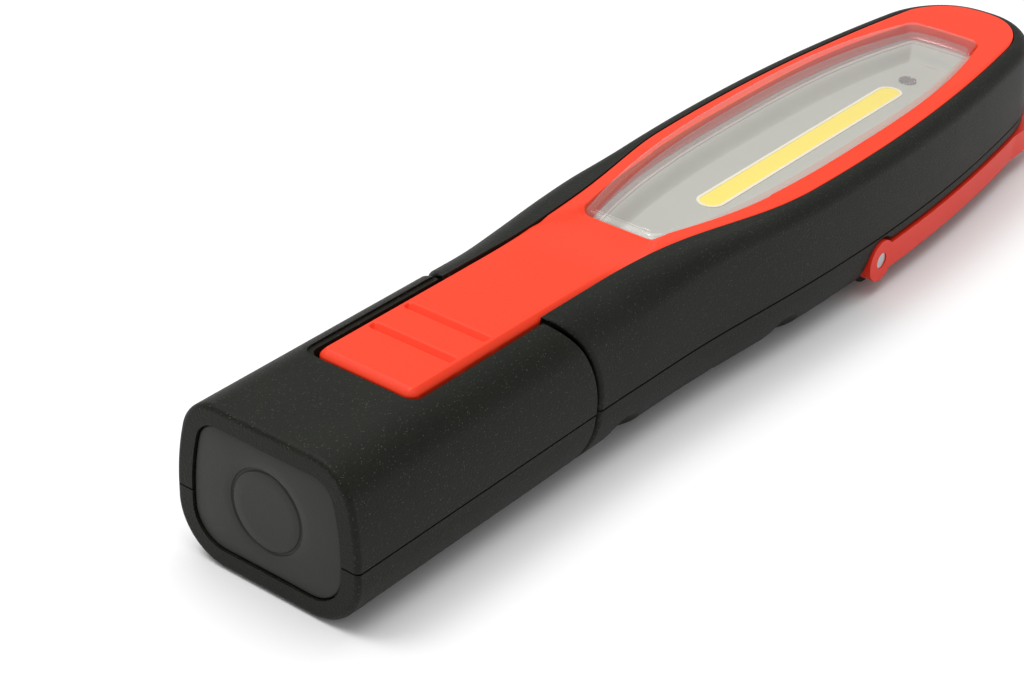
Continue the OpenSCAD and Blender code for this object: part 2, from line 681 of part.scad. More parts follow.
// height of the panel's outer edge
function edge_height(x) = plateau_height - bevel_drop + 0.45 * blend(neck - 12, before_lens(20), x)
  - (plateau_height - bevel_drop + 0.45 - head_top + 0.1)
    * blend(before_lens(20), lens_start + 28.4, x);
crease = [[0, 0], [neck - 8, 8.7], [before_lens(4), 8.7], [before_lens(11), 9.1],
  [before_lens(17.5), 9.7], [before_lens(23.5), 8.6]];
function panel_fall(x) = blend(before_lens(8), before_lens(26), x);
groove_at = [slot_start + 11.1, slot_start + 19.6];
module front_panel() {
  color([0.9, 0.28, 0.18])
  difference() {
    skin([for (r = [
      panel_half([for (p = panel_plan) 0], [for (p = panel_plan) ledge_height]),
      panel_half([for (p = panel_plan) 0], [for (p = panel_plan) edge_height(p[0])]),
      shift_near(panel_half([for (p = panel_plan) bevel - 0.45 * blend(neck, lens_start + 4.4, p[0])],
        [for (p = panel_plan) let (r = edge_height(p[0]))
        let (b = blend(before_lens(12), lens_start + 6.4, p[0]))
          r + (plateau_height - r) * (1 - b) + 0.22 * b]),
        bevel * 1.3),
      concat([[slot_start + tongue_clearance + bevel * 1.3 + 0.4, 8.7, plateau_height]],
        [for (i = [1:5]) [crease[i][0], crease[i][1],
          plateau_height - (plateau_height - bezel_height - 0.6) * panel_fall(crease[i][0])]],
        [for (i = [6:panel_count - 1]) let (p = lens_xy(1.3)[i]) [p[0], p[1], bezel_height + 0.14]]),
      concat([[before_lens(11), 7.6, plateau_height - 0.05]],
        [for (i = [1:4])
          let (x = before_lens(11 + 3.6 * i))
          [x, 7.6 + 0.12 * i - (i == 4 ? 0.9 : 0),
            plateau_height - 0.1 - (plateau_height - bezel_height - 0.35) * panel_fall(x)]],
        [for (i = [5:panel_count - 1]) let (p = lens_xy(0.7)[i]) [p[0], p[1], bezel_height + 0.07]]),
      [for (p = lens_xy(lens_gap)) [p[0], p[1], bezel_height]],
      [for (p = lens_xy(lens_gap)) [p[0], p[1], ledge_height]]
    ]) both_halves(r)], true);
    // hollow below the tongue
    box(hinge_x - 12.4, hinge_x + 18, -7.4, 7.4, ledge_height - 1, ledge_height + 1.6);
    // two thumb grooves with one sloping side
    for (x = groove_at) translate([x, 8.2, plateau_height - groove_depth]) rotate([90, 0, 0])
      linear_extrude(16.4) polygon([[0, 0], [0.4, 0], [groove_width, 2], [0, 2]]);
  }
}

// ---------------------------------------------------------------- lens and light
module lens() {
  color([0.85, 0.9, 0.92, 0.45])
  skin([
    lens_loop(-lens_wall - 0.4, lens_wall, 1),
    lens_loop(-lens_wall, lens_wall + 0.5, 1),
    lens_loop(-lens_wall, flange_bottom),
    lens_loop(flange_width, flange_bottom),
    lens_loop(flange_width, flange_top),
    lens_loop(0, flange_top),
    lens_loop(0, 0.75, 1),
    lens_loop(-0.22, 0.22, 1),
    lens_loop(-0.75, 0, 1)
  ]);
}
module lens_seal() {
  color([0.15, 0.15, 0.15])
  difference() {
    lens_prism(flange_width - 0.1, seal_bottom, flange_bottom);
    lens_prism(-lens_wall, seal_bottom - 1, flange_bottom + 1);
  }
}
board_x0 = strip_start - 9;
board_x1 = strip_start + strip_length + 8;
board_half = strip_width / 2 + 2.3;
module reflector_tray() {
  color([0.72, 0.73, 0.7])
  difference() {
    union() {
      lens_prism(flange_width, seal_bottom - 1, seal_bottom);
      lens_prism(-0.4, board_bottom, seal_bottom - 1);
    }
    lens_prism(-0.4 - 1.4, board_bottom + 0.8, seal_bottom + 1);
    box(board_x0 - 0.15, board_x1 + 0.15, -board_half - 0.15, board_half + 0.15, 0, 20);
  }
}
module stadium(x0, x1, r, z0, z1) {
  for (x = [x0 + r, x1 - r]) translate([x, 0, z0]) cylinder(r = r, h = z1 - z0, $fn = 64);
  box(x0 + r, x1 - r, -r, r, z0, z1);
}
module strip_board_plate() {
  color([0.8, 0.81, 0.8])
  difference() {
    box(board_x0, board_x1, -board_half, board_half, board_bottom, board_top);
    for (x = [board_x0 + 3.2, board_x1 - 3.2]) translate([x, 0, 0]) cylinder(r = 1.1, h = 30, $fn = 32);
  }
}
module strip_border() {
  r = strip_width / 2;
  color([0.93, 0.92, 0.82])
  difference() {
    stadium(strip_start, strip_start + strip_length, r, board_top, strip_height);
    stadium(strip_start + border_width, strip_start + strip_length - border_width,
      r - border_width, board_top - 1, strip_height + 1);
  }
}
module strip_phosphor() {
  color([0.98, 0.88, 0.45])
  stadium(strip_start + border_width, strip_start + strip_length - border_width,
    strip_width / 2 - border_width, board_top, strip_height - 0.1);
}
spreader_x0 = cell_start + cell_length + 4;
module heat_spreader() {
  color([0.78, 0.79, 0.8])
  difference() {
    union() {
      box(spreader_x0, board_x1, -7, 7, board_bottom - 1.5, board_bottom);
      for (y = [-6, -3.6, -1.2, 1.2, 3.6, 6])
        box(spreader_x0, board_x1, y - 0.4, y + 0.4, board_bottom - 4, board_bottom - 1.4);
    }
    translate([board_x1 - 3.2, 0, 0]) cylinder(r = 0.9, h = 30, $fn = 32);
    translate([spreader_x0 + 3, 0, 0]) cylinder(r = 0.9, h = 30, $fn = 32);
  }
}
module spreader_screw() {
  color([0.7, 0.71, 0.72])
  translate([board_x1 - 3.2, 0, board_top]) {
    translate([0, 0, -3.4]) cylinder(r = 0.85, h = 3.5, $fn = 32);
    difference() {
      cylinder(r = 1.8, h = 0.8, $fn = 48);
      box(-2, 2, -0.25, 0.25, 0.4, 2);
    }
  }
}

// ---------------------------------------------------------------- cell and boards
module battery_cell() {
  color([0.2, 0.45, 0.65])
  difference() {
    along_x(cell_start, cell_start + cell_length, 0, cell_z, cell_d / 2);
    translate([cell_start + cell_length - 1.2, 0, cell_z]) rotate([0, 90, 0]) difference() {
      cylinder(r = 7.6, h = 3, $fn = 64);
      cylinder(r = 4.2, h = 9, center = true, $fn = 64);
    }
  }
}
module cell_end_pads() {
  color([0.2, 0.2, 0.2]) {
    box(collar_end, cell_start - 0.25, -8, 8, inner_floor, 6);
    box(cell_start + cell_length + 0.25, cell_start + cell_length + 2.2, -8, 8, inner_floor, pad_top);
  }
}
// welded tabs: one turns down beside its end pad, one up over the other pad
module cell_tabs() {
  x1 = cell_start + cell_length;
  color([0.75, 0.74, 0.68]) {
    box(cell_start - 0.25, cell_start, -3, 3, cell_z - 6, cell_z + 4);
    box(cell_start - 0.25, cell_start, -3, lead_y + 0.8, lead_z - 0.8, cell_z - 5.9);
    box(x1, x1 + 0.25, -3, 3, cell_z - 6, cell_z + 4.1);
    box(x1, x1 + 0.25, -1.5, 1.5, cell_z + 4, pad_top + 1.6);
  }
}
// lead through a list of points, with a round bead at each bend
module lead(points) {
  n = len(points);
  for (i = [0:n - 2])
    let (d = unit(points[i + 1] - points[i]))
    let (a = points[i] + (i > 0 ? 0.2 : 0) * d)
    let (b = points[i + 1] - (i < n - 2 ? 0.2 : 0) * d)
    translate(a)
      rotate([0, acos(d[2]), atan2(d[1], d[0])])
        cylinder(d = lead_d, h = norm(b - a), $fn = 24);
  for (i = [1:n - 2]) translate(points[i]) sphere(d = lead_d + 0.14, $fn = 24);
}
pad_top = 4;
lead_x = cell_start + cell_length + 3.1;
lead_y = 8.6;
lead_z = inner_floor + 1.8;
lead_rest = board_z + 1.65 + lead_d / 2;
module cell_leads() {
  z = pad_top + 0.2 + lead_d / 2;
  color([0.7, 0.1, 0.1]) {
    lead([[cell_start + 0.1, lead_y, lead_z], [lead_x, lead_y, lead_z],
      [lead_x, lead_y, lead_rest], [board_x + 1.5, lead_y, lead_rest]]);
    lead([[cell_start + cell_length + 0.35, 0, z], [lead_x, 0, z],
      [lead_x, 0, lead_rest], [board_x + 2, 0, lead_rest]]);
  }
}
module strip_leads() {
  color([0.9, 0.9, 0.88])
  for (y = [-1.8, 1.8]) lead([[lead_x, y, board_bottom - 0.05], [lead_x, y, lead_rest],
    [board_x + 2, y, lead_rest]]);
}
module charge_lead() {
  z = socket_z - 2.65 - lead_d / 2;
  color([0.9, 0.9, 0.88])
  lead([[socket_x + 3, lead_y + 2, z], [lead_x, lead_y + 2, z],
    [lead_x, lead_y + 2, lead_rest], [board_x + 1.8, lead_y + 2, lead_rest]]);
}
post_at = [[button_x + 10, 10], [board_end - 7, 9.5]];
module post_places() {
  for (p = post_at) for (s = [-1, 1]) translate([p[0], s * p[1], 0]) children();
}
module control_board() {
  color([0.1, 0.4, 0.25])
  difference() {
    translate([0, 0, board_z]) linear_extrude(1.6)
      polygon([[board_x, -11], [board_x, 11], [board_x + 24, 12.4], [board_end - 9, 12.4],
        [board_end, 9], [board_end, -9], [board_end - 9, -12.4], [board_x + 24, -12.4]]);
    post_places() translate([0, 0, board_z - 1]) cylinder(r = 1.1, h = 4, $fn = 24);
  }
}
module board_screws() {
  color([0.7, 0.71, 0.72])
  post_places() {
    translate([0, 0, board_z - 5]) cylinder(r = 0.85, h = 6.7, $fn = 24);
    translate([0, 0, board_z + 1.6]) cylinder(r = 1.8, h = 1.1, $fn = 32);
  }
}
module board_parts() {
  // place along the board, length, the two sides and the height of each part
  color([0.12, 0.12, 0.13])
  for (p = [[0.03, 5, 6, 9.5, 3.2], [0.216, 6, -3, 3, 1.5], [0.424, 5, 3, 8, 1.1],
    [0.424, 6, -8, -3, 3], [0.6, 4, -2, 2, 1.2], [0.728, 4, 2, 5.5, 1], [0.728, 5, -7.5, -4, 2.2],
    [0.552, 1.2, 6, 8, 0.8], [0.6, 1.2, 6, 8, 0.8], [0.648, 1.2, 6, 8, 0.8], [0.696, 1.2, 6, 8, 0.8]])
    translate([board_x + p[0] * (board_end - board_x), 0, board_z + 1.6])
      box(0, p[1], p[2], p[3], 0, p[4]);
}
module push_switch() {
  color([0.16, 0.16, 0.17]) {
    box(button_x - 3, button_x + 3, -3, 3, board_z - 3.5, board_z);
    translate([button_x, 0, board_z - 4.5]) cylinder(r = 1.75, h = 1.1, $fn = 48);
  }
}
module power_button() {
  color([0.85, 0.25, 0.15])
  difference() {
    translate([button_x, 0, 0]) {
      translate([0, 0, 0.2 - rear_depth]) cylinder(r = button_d / 2, h = wall + 1, $fn = 96);
      translate([0, 0, inner_floor + 0.1]) cylinder(r = button_d / 2 + 1.4, h = 1, $fn = 96);
      translate([0, 0, inner_floor]) cylinder(r = 2, h = board_z - 4.5 - button_travel - 0.05 - inner_floor,
        $fn = 48);
    }
    // finger dish
    translate([button_x, 0, 0.2 - rear_depth - 29.3]) sphere(r = 30, $fn = 96);
  }
}

// ---------------------------------------------------------------- charging port
port_floor = handle_half_width - 2.2;
bead_y = handle_half_width - 1.35;
bead_z = window_z1 - 2;
socket_z = (window_z0 + window_z1) / 2 - 0.6;
module port_skin(r, x0, x1) {
  translate([x0, handle_half_width + 0.12 - side_radius, 0]) rotate([0, 90, 0])
    cylinder(r = r, h = x1 - x0, $fn = 360);
}
module charge_port() {
  color([0.13, 0.13, 0.12])
  intersection() {
    difference() {
      box(window_x0 + 0.15, window_x1 - 0.15, port_floor - 1.8, 30, window_z0 + 0.15, window_z1 - 0.15);
      box(window_x0 + 0.9, window_x1 - 0.9, port_floor, 40, window_z0 + 1, window_z1 - 0.9);
      box(socket_x - 4.6, socket_x + 4.6, 0, 30, socket_z - 1.7, socket_z + 1.7);
    }
    port_skin(side_radius, 50, 110);
  }
}
module charging_socket() {
  color([0.75, 0.76, 0.78])
  difference() {
    box(socket_x - 4.47, socket_x + 4.47, port_floor - 6.9, port_floor - 0.1,
      socket_z - 1.58, socket_z + 1.58);
    difference() {
      box(socket_x - 4.17, socket_x + 4.17, port_floor - 6.4, port_floor + 1,
        socket_z - 1.28, socket_z + 1.28);
      box(socket_x - 3.3, socket_x + 3.3, port_floor - 7, port_floor - 0.8,
        socket_z - 0.35, socket_z + 0.35);
    }
  }
}
module charge_board() {
  color([0.1, 0.4, 0.25])
  box(window_x0 + 0.5, window_x1 - 0.5, port_floor - 7.4, port_floor - 1.8,
    socket_z - 2.58, socket_z - 1.58);
}
module port_flap() {
  color([0.12, 0.12, 0.12])
  intersection() {
    difference() {
      union() {
        along_x(window_x0 + 1.2, window_x1 - 1.2, bead_y, bead_z, 0.6);
        box(window_x0 + 1.2, window_x1 - 1.2, port_floor + 0.35, 30, window_z0 + 1.3, bead_z);
      }
      // finger nail scoop
      along_x(socket_x - 3, socket_x + 3, handle_half_width + 0.9, window_z0 + 1.4, 1.3);
    }
    port_skin(side_radius - 0.2, 50, 110);
  }
}

// ---------------------------------------------------------------- bail
pivot_y = head_width(bail_x);
bail_z0 = -bail_depth - bail_height / 2;
bail_x_list = [for (d = [0, 10, 20, 31, 42, 52, 62]) bail_x + d * (tip_base - bail_x) / 62];
bail_angles = [8, 16, 24, 32, 40, 48, 56, 64, 72, 80, 88];
function bail_edge(u, a) = concat(
  [for (x = bail_x_list) [x, head_width(x) + u]],
  [for (q = bail_angles) [tip_base + a * pow(sin(q), 2 / tip_power),
    (head_width(tip_base) + u) * pow(cos(q), 2 / tip_power)]]);
module bail_plan() {
  outer = bail_edge(bail_proud, overall_length - tip_base);
  inner = bail_edge(bail_proud - bail_thickness, overall_length - bail_bar - tip_base);
  difference() {
    polygon(concat(outer, [for (k = [0:len(outer) - 1])
      let (p = outer[len(outer) - 1 - k]) [p[0], -p[1]]]));
    polygon(concat([[bail_x - 5, inner[0][1]]], inner, [for (k = [0:len(inner) - 1])
      let (p = inner[len(inner) - 1 - k]) [p[0], -p[1]]], [[bail_x - 5, -inner[0][1]]]));
  }
}
module bail() {
  color([0.85, 0.25, 0.15])
  difference() {
    union() {
      translate([0, 0, bail_z0]) linear_extrude(bail_height) bail_plan();
      both_sides() along_y(bail_x, -bail_depth, eye_radius,
        pivot_y + bail_proud - bail_thickness, pivot_y + bail_proud);
    }
    both_sides() along_y(bail_x, -bail_depth, bail_pin_d / 2 + pin_clearance, 10, 40);
  }
}
module bail_pins() {
  color([0.72, 0.73, 0.75])
  both_sides() along_y(bail_x, -bail_depth, bail_pin_d / 2, pivot_y - 8, pivot_y + bail_proud - 0.2);
}

// origin under the middle of the part, resting on its rear face
module place() {
  translate([-overall_length / 2, 0, rear_depth]) children();
}

place() base_front_shell();
place() base_rear_shell();
place() magnet_pad();
place() base_magnet();
place() magnet_keeper();
place() hinge_pin();
place() friction_washers();
place() base_screws();
place() hinge_arm();
place() front_shell();
place() rear_shell();
place() front_panel();
place() shell_screws();
place() lens();
place() lens_seal();
place() reflector_tray();
place() strip_board_plate();
place() strip_border();
place() strip_phosphor();
place() heat_spreader();
place() spreader_screw();
place() battery_cell();
place() cell_end_pads();
place() cell_tabs();
place() cell_leads();
place() strip_leads();
place() charge_lead();
place() control_board();
place() board_parts();
place() board_screws();
place() push_switch();
place() power_button();
place() charge_port();
place() charging_socket();
place() charge_board();
place() port_flap();
place() bail();
place() bail_pins();
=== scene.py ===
import math

import bmesh
import bpy
import numpy as np
from mathutils import Matrix, Vector


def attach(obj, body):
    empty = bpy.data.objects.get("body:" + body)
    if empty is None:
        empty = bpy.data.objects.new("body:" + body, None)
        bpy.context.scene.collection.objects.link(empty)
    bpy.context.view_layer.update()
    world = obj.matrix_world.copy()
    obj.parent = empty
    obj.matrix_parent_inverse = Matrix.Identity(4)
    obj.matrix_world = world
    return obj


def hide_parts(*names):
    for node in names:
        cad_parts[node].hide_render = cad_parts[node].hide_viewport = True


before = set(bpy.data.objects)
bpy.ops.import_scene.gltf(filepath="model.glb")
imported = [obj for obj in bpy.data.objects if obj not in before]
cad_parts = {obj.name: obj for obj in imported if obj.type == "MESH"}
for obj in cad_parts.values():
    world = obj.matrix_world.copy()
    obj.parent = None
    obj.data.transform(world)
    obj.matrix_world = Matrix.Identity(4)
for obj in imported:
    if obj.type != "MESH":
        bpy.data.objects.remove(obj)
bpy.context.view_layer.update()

# ------------------------------------------------------------------ sizes, mm
# The lamp is drawn in its own coordinates: X from the magnetic end, Y from the
# middle, Z from the seam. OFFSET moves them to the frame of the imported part.
OFFSET = np.array([-118.25, 0.0, 12.2])

# Handle: half-width, height in front of the seam, depth behind it, half the seam's gap
HALF_WIDTH = 19.0
FRONT = 17.5
REAR = 12.2
SEAM = 0.15
# Radii of the barrel-shaped side and of the corners, at the handle and at the head
SIDE_R = 45
SIDE_R_HEAD = 110
CORNER = 8
CORNER_HEAD = 3.2
REAR_CORNER = 10

# Head: where the handle starts to widen, where the flare and the corners are done,
# the widest place, the radius of the long plan curve and how softly it leaves the handle
NECK_X = 62
FLARE_END = 75
CORNER_END = 104
HEAD_X = 145.0
HEAD_WIDTH = 22.1
PLAN_RADIUS = 423.0
SOFT = 0.75
# Front face: its height at the head and the stretch where it falls to it
HEAD_TOP = 15.95
FALL_X = 82
FALL_END = 118
# Tip: a superellipse of this length and power
TIP = 208.0
TIP_LENGTH = 18.0
TIP_POWER = 2.4

# Tilting joint: axis, radius of the foot's round end and of the housing's hollow end
HINGE_X = 39.2
HINGE_Z = 2.65
FOOT_RADIUS = 20.3
HOLLOW_RADIUS = 21.0
# Slot for the arm and the tongue, and the shallow step round it in the front face
SLOT_HALF = 11.0
SLOT_X = 21.9
STEP_WIDE = 0.9
STEP_Z = 16.75

# Foot: rounded rim, pocket and place of the magnet pad, screw bores
RIM_ROUND = 1.0
POCKET_WALL = 3.5
POCKET_DEEP = 2.4
PAD_WALL = 3.65
PAD_FACE = 0.4
PAD_BACK = 2.35
FOOT_SCREW_X = 16.5
FOOT_SCREW_Y = 10.5

# Front panel: near end of the tongue, its half-width, its margin at the head and the
# stretch to it, the gap round it, corner radius, heights, and the two thumb grooves
TONGUE_X = 22.5
TONGUE_HALF = 10.1
MARGIN = 4.4
MARGIN_X = 70
MARGIN_END = 126
PANEL_GAP = 0.25
TONGUE_ROUND = 1.7
PLATEAU = 17.67
BEZEL = 16.05
EDGE_Z = 16.82
EDGE_RISE = 0.45
GROOVES = (33.0, 41.5)
GROOVE_LONG = 2.1
GROOVE_DEEP = 0.95
GROOVE_HALF = 8.45

# Lens: near end, length, half-width and how much it tapers, corner, heights, and the tray
LENS_X = 89.6
LENS_LENGTH = 116.0
LENS_HALF = 13.85
LENS_TAPER = 6.1
LENS_CORNER = 2.5
LENS_TOP = 18.42
LENS_FOOT = 13.2
LENS_GAP = 0.22
TRAY_RIM = 12.26
TRAY_FLOOR = 9.62

# Bail: pivot, depth of its ledge, gap beside the housing, bar, reach of both edges
BAIL_X = 146.0
BAIL_Z = -5.3
LEDGE = 2.9
BAIL_GAP = 0.4
BAR_THICK = 2.7
BAR_HIGH = 5.4
BAIL_REACH = 236.48
BAIL_INNER = 232
EYE_RADIUS = 4.2
EYE_POCKET = 4.8
PIN_RADIUS = 1.65

# Rear face: button, screw bores and finger dents; far side: the port's opening in x, y, z
BUTTON_X = 148
BUTTON_HOLE = 6.6
SCREWS = ((96, 15.49), (134, 17.74), (TIP + 1, 10.6))
DENTS = (69.0, 115.5)
DENT_DEEP = 1.25
DENT_LONG = 9.4
PORT = (66, 84, 10, 30, 1.6, 11.2)

# Walls of the rebuilt housing and tray; screw bores of the foot and of the housing
WALL = 1.8
TRAY_WALL = 0.4
FOOT_BORE = 2.5
HOUSING_BORE = 2.4


# ------------------------------------------------------------------ form of the housing
def blend(a, b, x):
    """Smooth step from 0 at a to 1 at b: 3 t^2 - 2 t^3."""
    t = np.clip((x - a) / (b - a), 0, 1)
    return t * t * (3 - 2 * t)


def soft_max(width):
    """The larger of the handle's half-width and this one, with a hyperbola between."""
    return (HALF_WIDTH + width) / 2 + np.sqrt(((HALF_WIDTH - width) / 2) ** 2 + SOFT**2)


def head_width(x):
    """Half-width at the seam: straight handle, soft flare, then a long parabola."""
    x = np.asarray(x, float)
    fall = (x - HEAD_X) ** 2 / (2 * PLAN_RADIUS)
    far = soft_max(HEAD_WIDTH) - fall
    flare = soft_max(HEAD_WIDTH - fall)
    near = HALF_WIDTH + (flare - HALF_WIDTH) * blend(NECK_X, FLARE_END, x)
    return np.where(x < NECK_X, HALF_WIDTH, np.where(x < HEAD_X, near, far))


def top_at(x):
    """Height of the front face."""
    return FRONT - (FRONT - HEAD_TOP) * blend(FALL_X, FALL_END, x)


def corner_at(x):
    """Radius of the front corner."""
    return CORNER + (CORNER_HEAD - CORNER) * blend(NECK_X, CORNER_END, x)


def side_at(x):
    """Radius of the barrel-shaped side."""
    return SIDE_R + (SIDE_R_HEAD - SIDE_R) * blend(NECK_X, CORNER_END, x)


def panel_inset(x):
    """How far the panel's edge lies inside the outline: tongue first, then a margin."""
    near = head_width(x) - TONGUE_HALF
    return near + (MARGIN - near) * blend(MARGIN_X, MARGIN_END, x)


def tip_curve(reach, count):
    """Quarter of a superellipse round the tip: X, and Y as a share of the half-width."""
    a = np.radians(np.linspace(0, 90, count)[1:])
    share = np.maximum(np.cos(a), 0) ** (2 / TIP_POWER)
    share[-1] = 0
    return TIP + reach * np.sin(a) ** (2 / TIP_POWER), share


def plan_path(xs):
    """Side stations, then the superellipse round the tip: points and outward normals."""
    tx, share = tip_curve(TIP_LENGTH, 40)
    p = np.c_[np.r_[xs, tx], np.r_[head_width(xs), head_width(tx) * share]]
    q = np.vstack([p[0] - [1, 0], p, [p[-2][0], -p[-2][1]]])
    d = q[2:] - q[:-2]
    d /= np.linalg.norm(d, axis=1)[:, None]
    return p, np.c_[-d[:, 1], d[:, 0]]


def ring_x(z, r):
    """Where the circle of radius r about the hinge axis meets the height z."""
    return HINGE_X + np.sqrt(np.maximum(r * r - (z - HINGE_Z) ** 2, 0))


def front_section(x):
    """Insets and heights of the front half at each x: a side of radius rs from the seam,
    then a corner of radius rc, tangent to it, that turns to 84 degrees."""
    x = np.asarray(x, float)[:, None]
    rs = side_at(x)
    rc = corner_at(x)
    top = top_at(x)
    meet = np.arcsin((top - rc) / (rs - rc))
    start = np.arcsin(SEAM / rs)
    centre = rs - (rs - rc) * np.cos(meet)
    side = start + (meet - start) * np.linspace(0, 1, 9)[None]
    turn = meet + (math.radians(84) - meet) * np.linspace(0, 1, 16)[None, 1:]
    inset = np.hstack([rs * (1 - np.cos(side)), centre - rc * np.cos(turn)])
    height = np.hstack([rs * np.sin(side), top - rc + rc * np.sin(turn)])
    return inset, height


def rear_section(x):
    """Insets and heights of the rear half: seam, soft ledge for the bail, corner."""
    ledge = np.where(x > BAIL_X, LEDGE, 0.0)[:, None]
    k = ledge / LEDGE
    q = np.radians(np.linspace(0, 90, 16))[None]
    r = REAR_CORNER - ledge
    # inset everywhere, inset where the ledge is, depth below the seam
    lip = (
        (0.14, 0, 0.15), (0.04, 0, 0.19), (0, 0, 0.3), (0, 0, 1.0), (0, 0, 1.7),
        (0, 0.05, 1.82), (0, 0.2, 1.9), (0, LEDGE - 0.2, 1.95), (0, LEDGE - 0.05, 2.0),
        (0, LEDGE, 2.15),
    )
    inset = np.hstack([a + b * k for a, b, depth in lip] + [REAR_CORNER - r * np.cos(q)])
    height = np.hstack([k * 0 - depth for a, b, depth in lip] + [-(REAR - r) - r * np.sin(q)])
    return inset, height


def half_sec(front, t=0.0, seam=SEAM):
    """Handle section lying t inside the skin, front or rear half, right to left."""
    if front:
        rs, rc, top = SIDE_R - t, CORNER - t, FRONT - t
        meet = math.asin((top - rc) / (rs - rc))
        centre = t + rs - (rs - rc) * math.cos(meet)
        q = np.linspace(math.asin(seam / rs) if seam > 0 else 0, meet, 12)
        side = np.c_[HALF_WIDTH - t - rs * (1 - np.cos(q)), rs * np.sin(q)]
        q = np.linspace(meet, math.pi / 2, 28)[1:]
        turn = np.c_[HALF_WIDTH - centre + rc * np.cos(q), top - rc + rc * np.sin(q)]
    else:
        r = REAR_CORNER - t
        side = np.array([[HALF_WIDTH - t, -seam], [HALF_WIDTH - t, -2.0]])
        q = np.linspace(0, math.pi / 2, 32)
        turn = np.c_[HALF_WIDTH - REAR_CORNER + r * np.cos(q), -(REAR - t - r) - r * np.sin(q)]
    half = np.vstack([side, turn])
    return np.vstack([half, half[::-1] * [-1, 1]])


# ------------------------------------------------------------------ mesh making
def clean_mesh(ob):
    """Merge doubles and make the normals agree and point outwards, also on a skin."""
    bm = bmesh.new()
    bm.from_mesh(ob.data)
    bmesh.ops.remove_doubles(bm, verts=bm.verts, dist=2e-6)
    bmesh.ops.dissolve_degenerate(bm, edges=bm.edges, dist=1e-7)
    bmesh.ops.recalc_face_normals(bm, faces=bm.faces)
    parts = [(f.calc_center_median(), f.normal, f.calc_area()) for f in bm.faces]
    middle = sum((c * a for c, n, a in parts), Vector()) / sum(a for c, n, a in parts)
    if sum((c - middle).dot(n) * a for c, n, a in parts) < 0:
        bmesh.ops.reverse_faces(bm, faces=bm.faces)
    bm.to_mesh(ob.data)
    bm.free()


def new_object(name, verts, faces):
    """Object in the part's frame, from points in mm in the lamp's own coordinates."""
    v = (np.asarray(verts, float).reshape(-1, 3) + OFFSET) / 1000
    me = bpy.data.meshes.new(name)
    me.from_pydata(v.tolist(), [], [tuple(map(int, f)) for f in faces])
    me.validate()
    ob = bpy.data.objects.new(name, me)
    bpy.context.scene.collection.objects.link(ob)
    clean_mesh(ob)
    return ob


def smooth(ob):
    """Smooth shading on every face."""
    ob.data.polygons.foreach_set("use_smooth", [True] * len(ob.data.polygons))


def build(name, shape, look, body, node):
    """Visible piece that rides a body and takes the place of one node."""
    ob = new_object(name, *shape)
    ob.data.materials.append(look)
    smooth(ob)
    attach(ob, body)
    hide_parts(node)
    return ob


def grid_mesh(points, mask=None, wrap=False):
    """Points of an n by m grid and its quads; mask leaves cells out, wrap joins the ends."""
    n, m = points.shape[:2]
    i, j = np.meshgrid(np.arange(n if wrap else n - 1), np.arange(m - 1), indexing="ij")
    a = i * m + j
    b = ((i + 1) % n) * m + j
    f = np.stack([a, b, b + 1, a + 1], -1)
    if mask is not None:
        f = f[mask]
    return points, f.reshape(-1, 4)


def loft(rows):
    """Closed solid through mirror-symmetric open sections, with ladders of quads as ends."""
    m = len(rows[0])
    f = []
    for a in range(0, (len(rows) - 1) * m, m):
        f += [(a + k, a + k + 1, a + m + k + 1, a + m + k) for k in range(m - 1)]
        f.append((a + m - 1, a, a + m, a + m + m - 1))
    for at in (0, (len(rows) - 1) * m):
        for k in range(m // 2):
            q = tuple(dict.fromkeys(at + i for i in (k, m - 1 - k, m - 2 - k, k + 1)))
            f += [q] if len(q) > 2 else []
    return np.vstack(rows), f


def prism(sec, x0, x1):
    """Closed solid over one section, from x0 to x1."""
    return loft([np.c_[np.full(len(sec), x), sec] for x in (x0, x1)])


def box_mesh(x0, x1, y0, y1, z0, z1):
    """Box between these bounds."""
    v = [(x, y, z) for x in (x0, x1) for y in (y0, y1) for z in (z0, z1)]
    f = [(0, 1, 3, 2), (4, 6, 7, 5), (0, 4, 5, 1), (2, 3, 7, 6), (0, 2, 6, 4), (1, 5, 7, 3)]
    return v, f


def walls(low, high):
    """Walls between two closed loops of points, and a lid on each."""
    m = len(low)
    f = [(k, (k + 1) % m, m + (k + 1) % m, m + k) for k in range(m)]
    return np.vstack([low, high]), f + [tuple(range(m)), tuple(range(2 * m - 1, m - 1, -1))]


def tube_mesh(c, axis, r, length, n=72):
    """Cylinder of radius r from the point c along an axis (0, 1 or 2)."""
    a = np.linspace(0, 2 * np.pi, n, endpoint=False)
    u, v = [k for k in range(3) if k != axis]
    low = np.zeros((n, 3))
    low[:, u] = r * np.cos(a)
    low[:, v] = r * np.sin(a)
    high = low.copy()
    high[:, axis] = length
    return walls(low + c, high + c)


def slot_mesh(x0, w, z0, z1, r):
    """Straight-sided block past the foot's round end, its two near corners rounded."""
    x1 = 80
    q = np.linspace(0, math.pi / 2, 10)
    side = np.c_[x0 + r - r * np.cos(q), w - r + r * np.sin(q)]
    loop = np.vstack([[x1, -w], side[::-1] * [1, -1], side, [x1, w]])
    return walls(*(np.c_[loop, np.full(len(loop), z)] for z in (z0, z1)))


def apply_modifiers(ob):
    """Put the modified mesh in the object's place."""
    dg = bpy.context.evaluated_depsgraph_get()
    me = bpy.data.meshes.new_from_object(ob.evaluated_get(dg), depsgraph=dg)
    ob.modifiers.clear()
    ob.data = me


def close_skin(ob, mm):
    """Give a skin its wall now, so that it can be cut as a closed solid."""
    s = ob.modifiers.new("wall", "SOLIDIFY")
    s.thickness = mm / 1000
    s.offset = -1
    s.use_even_offset = False
    apply_modifiers(ob)


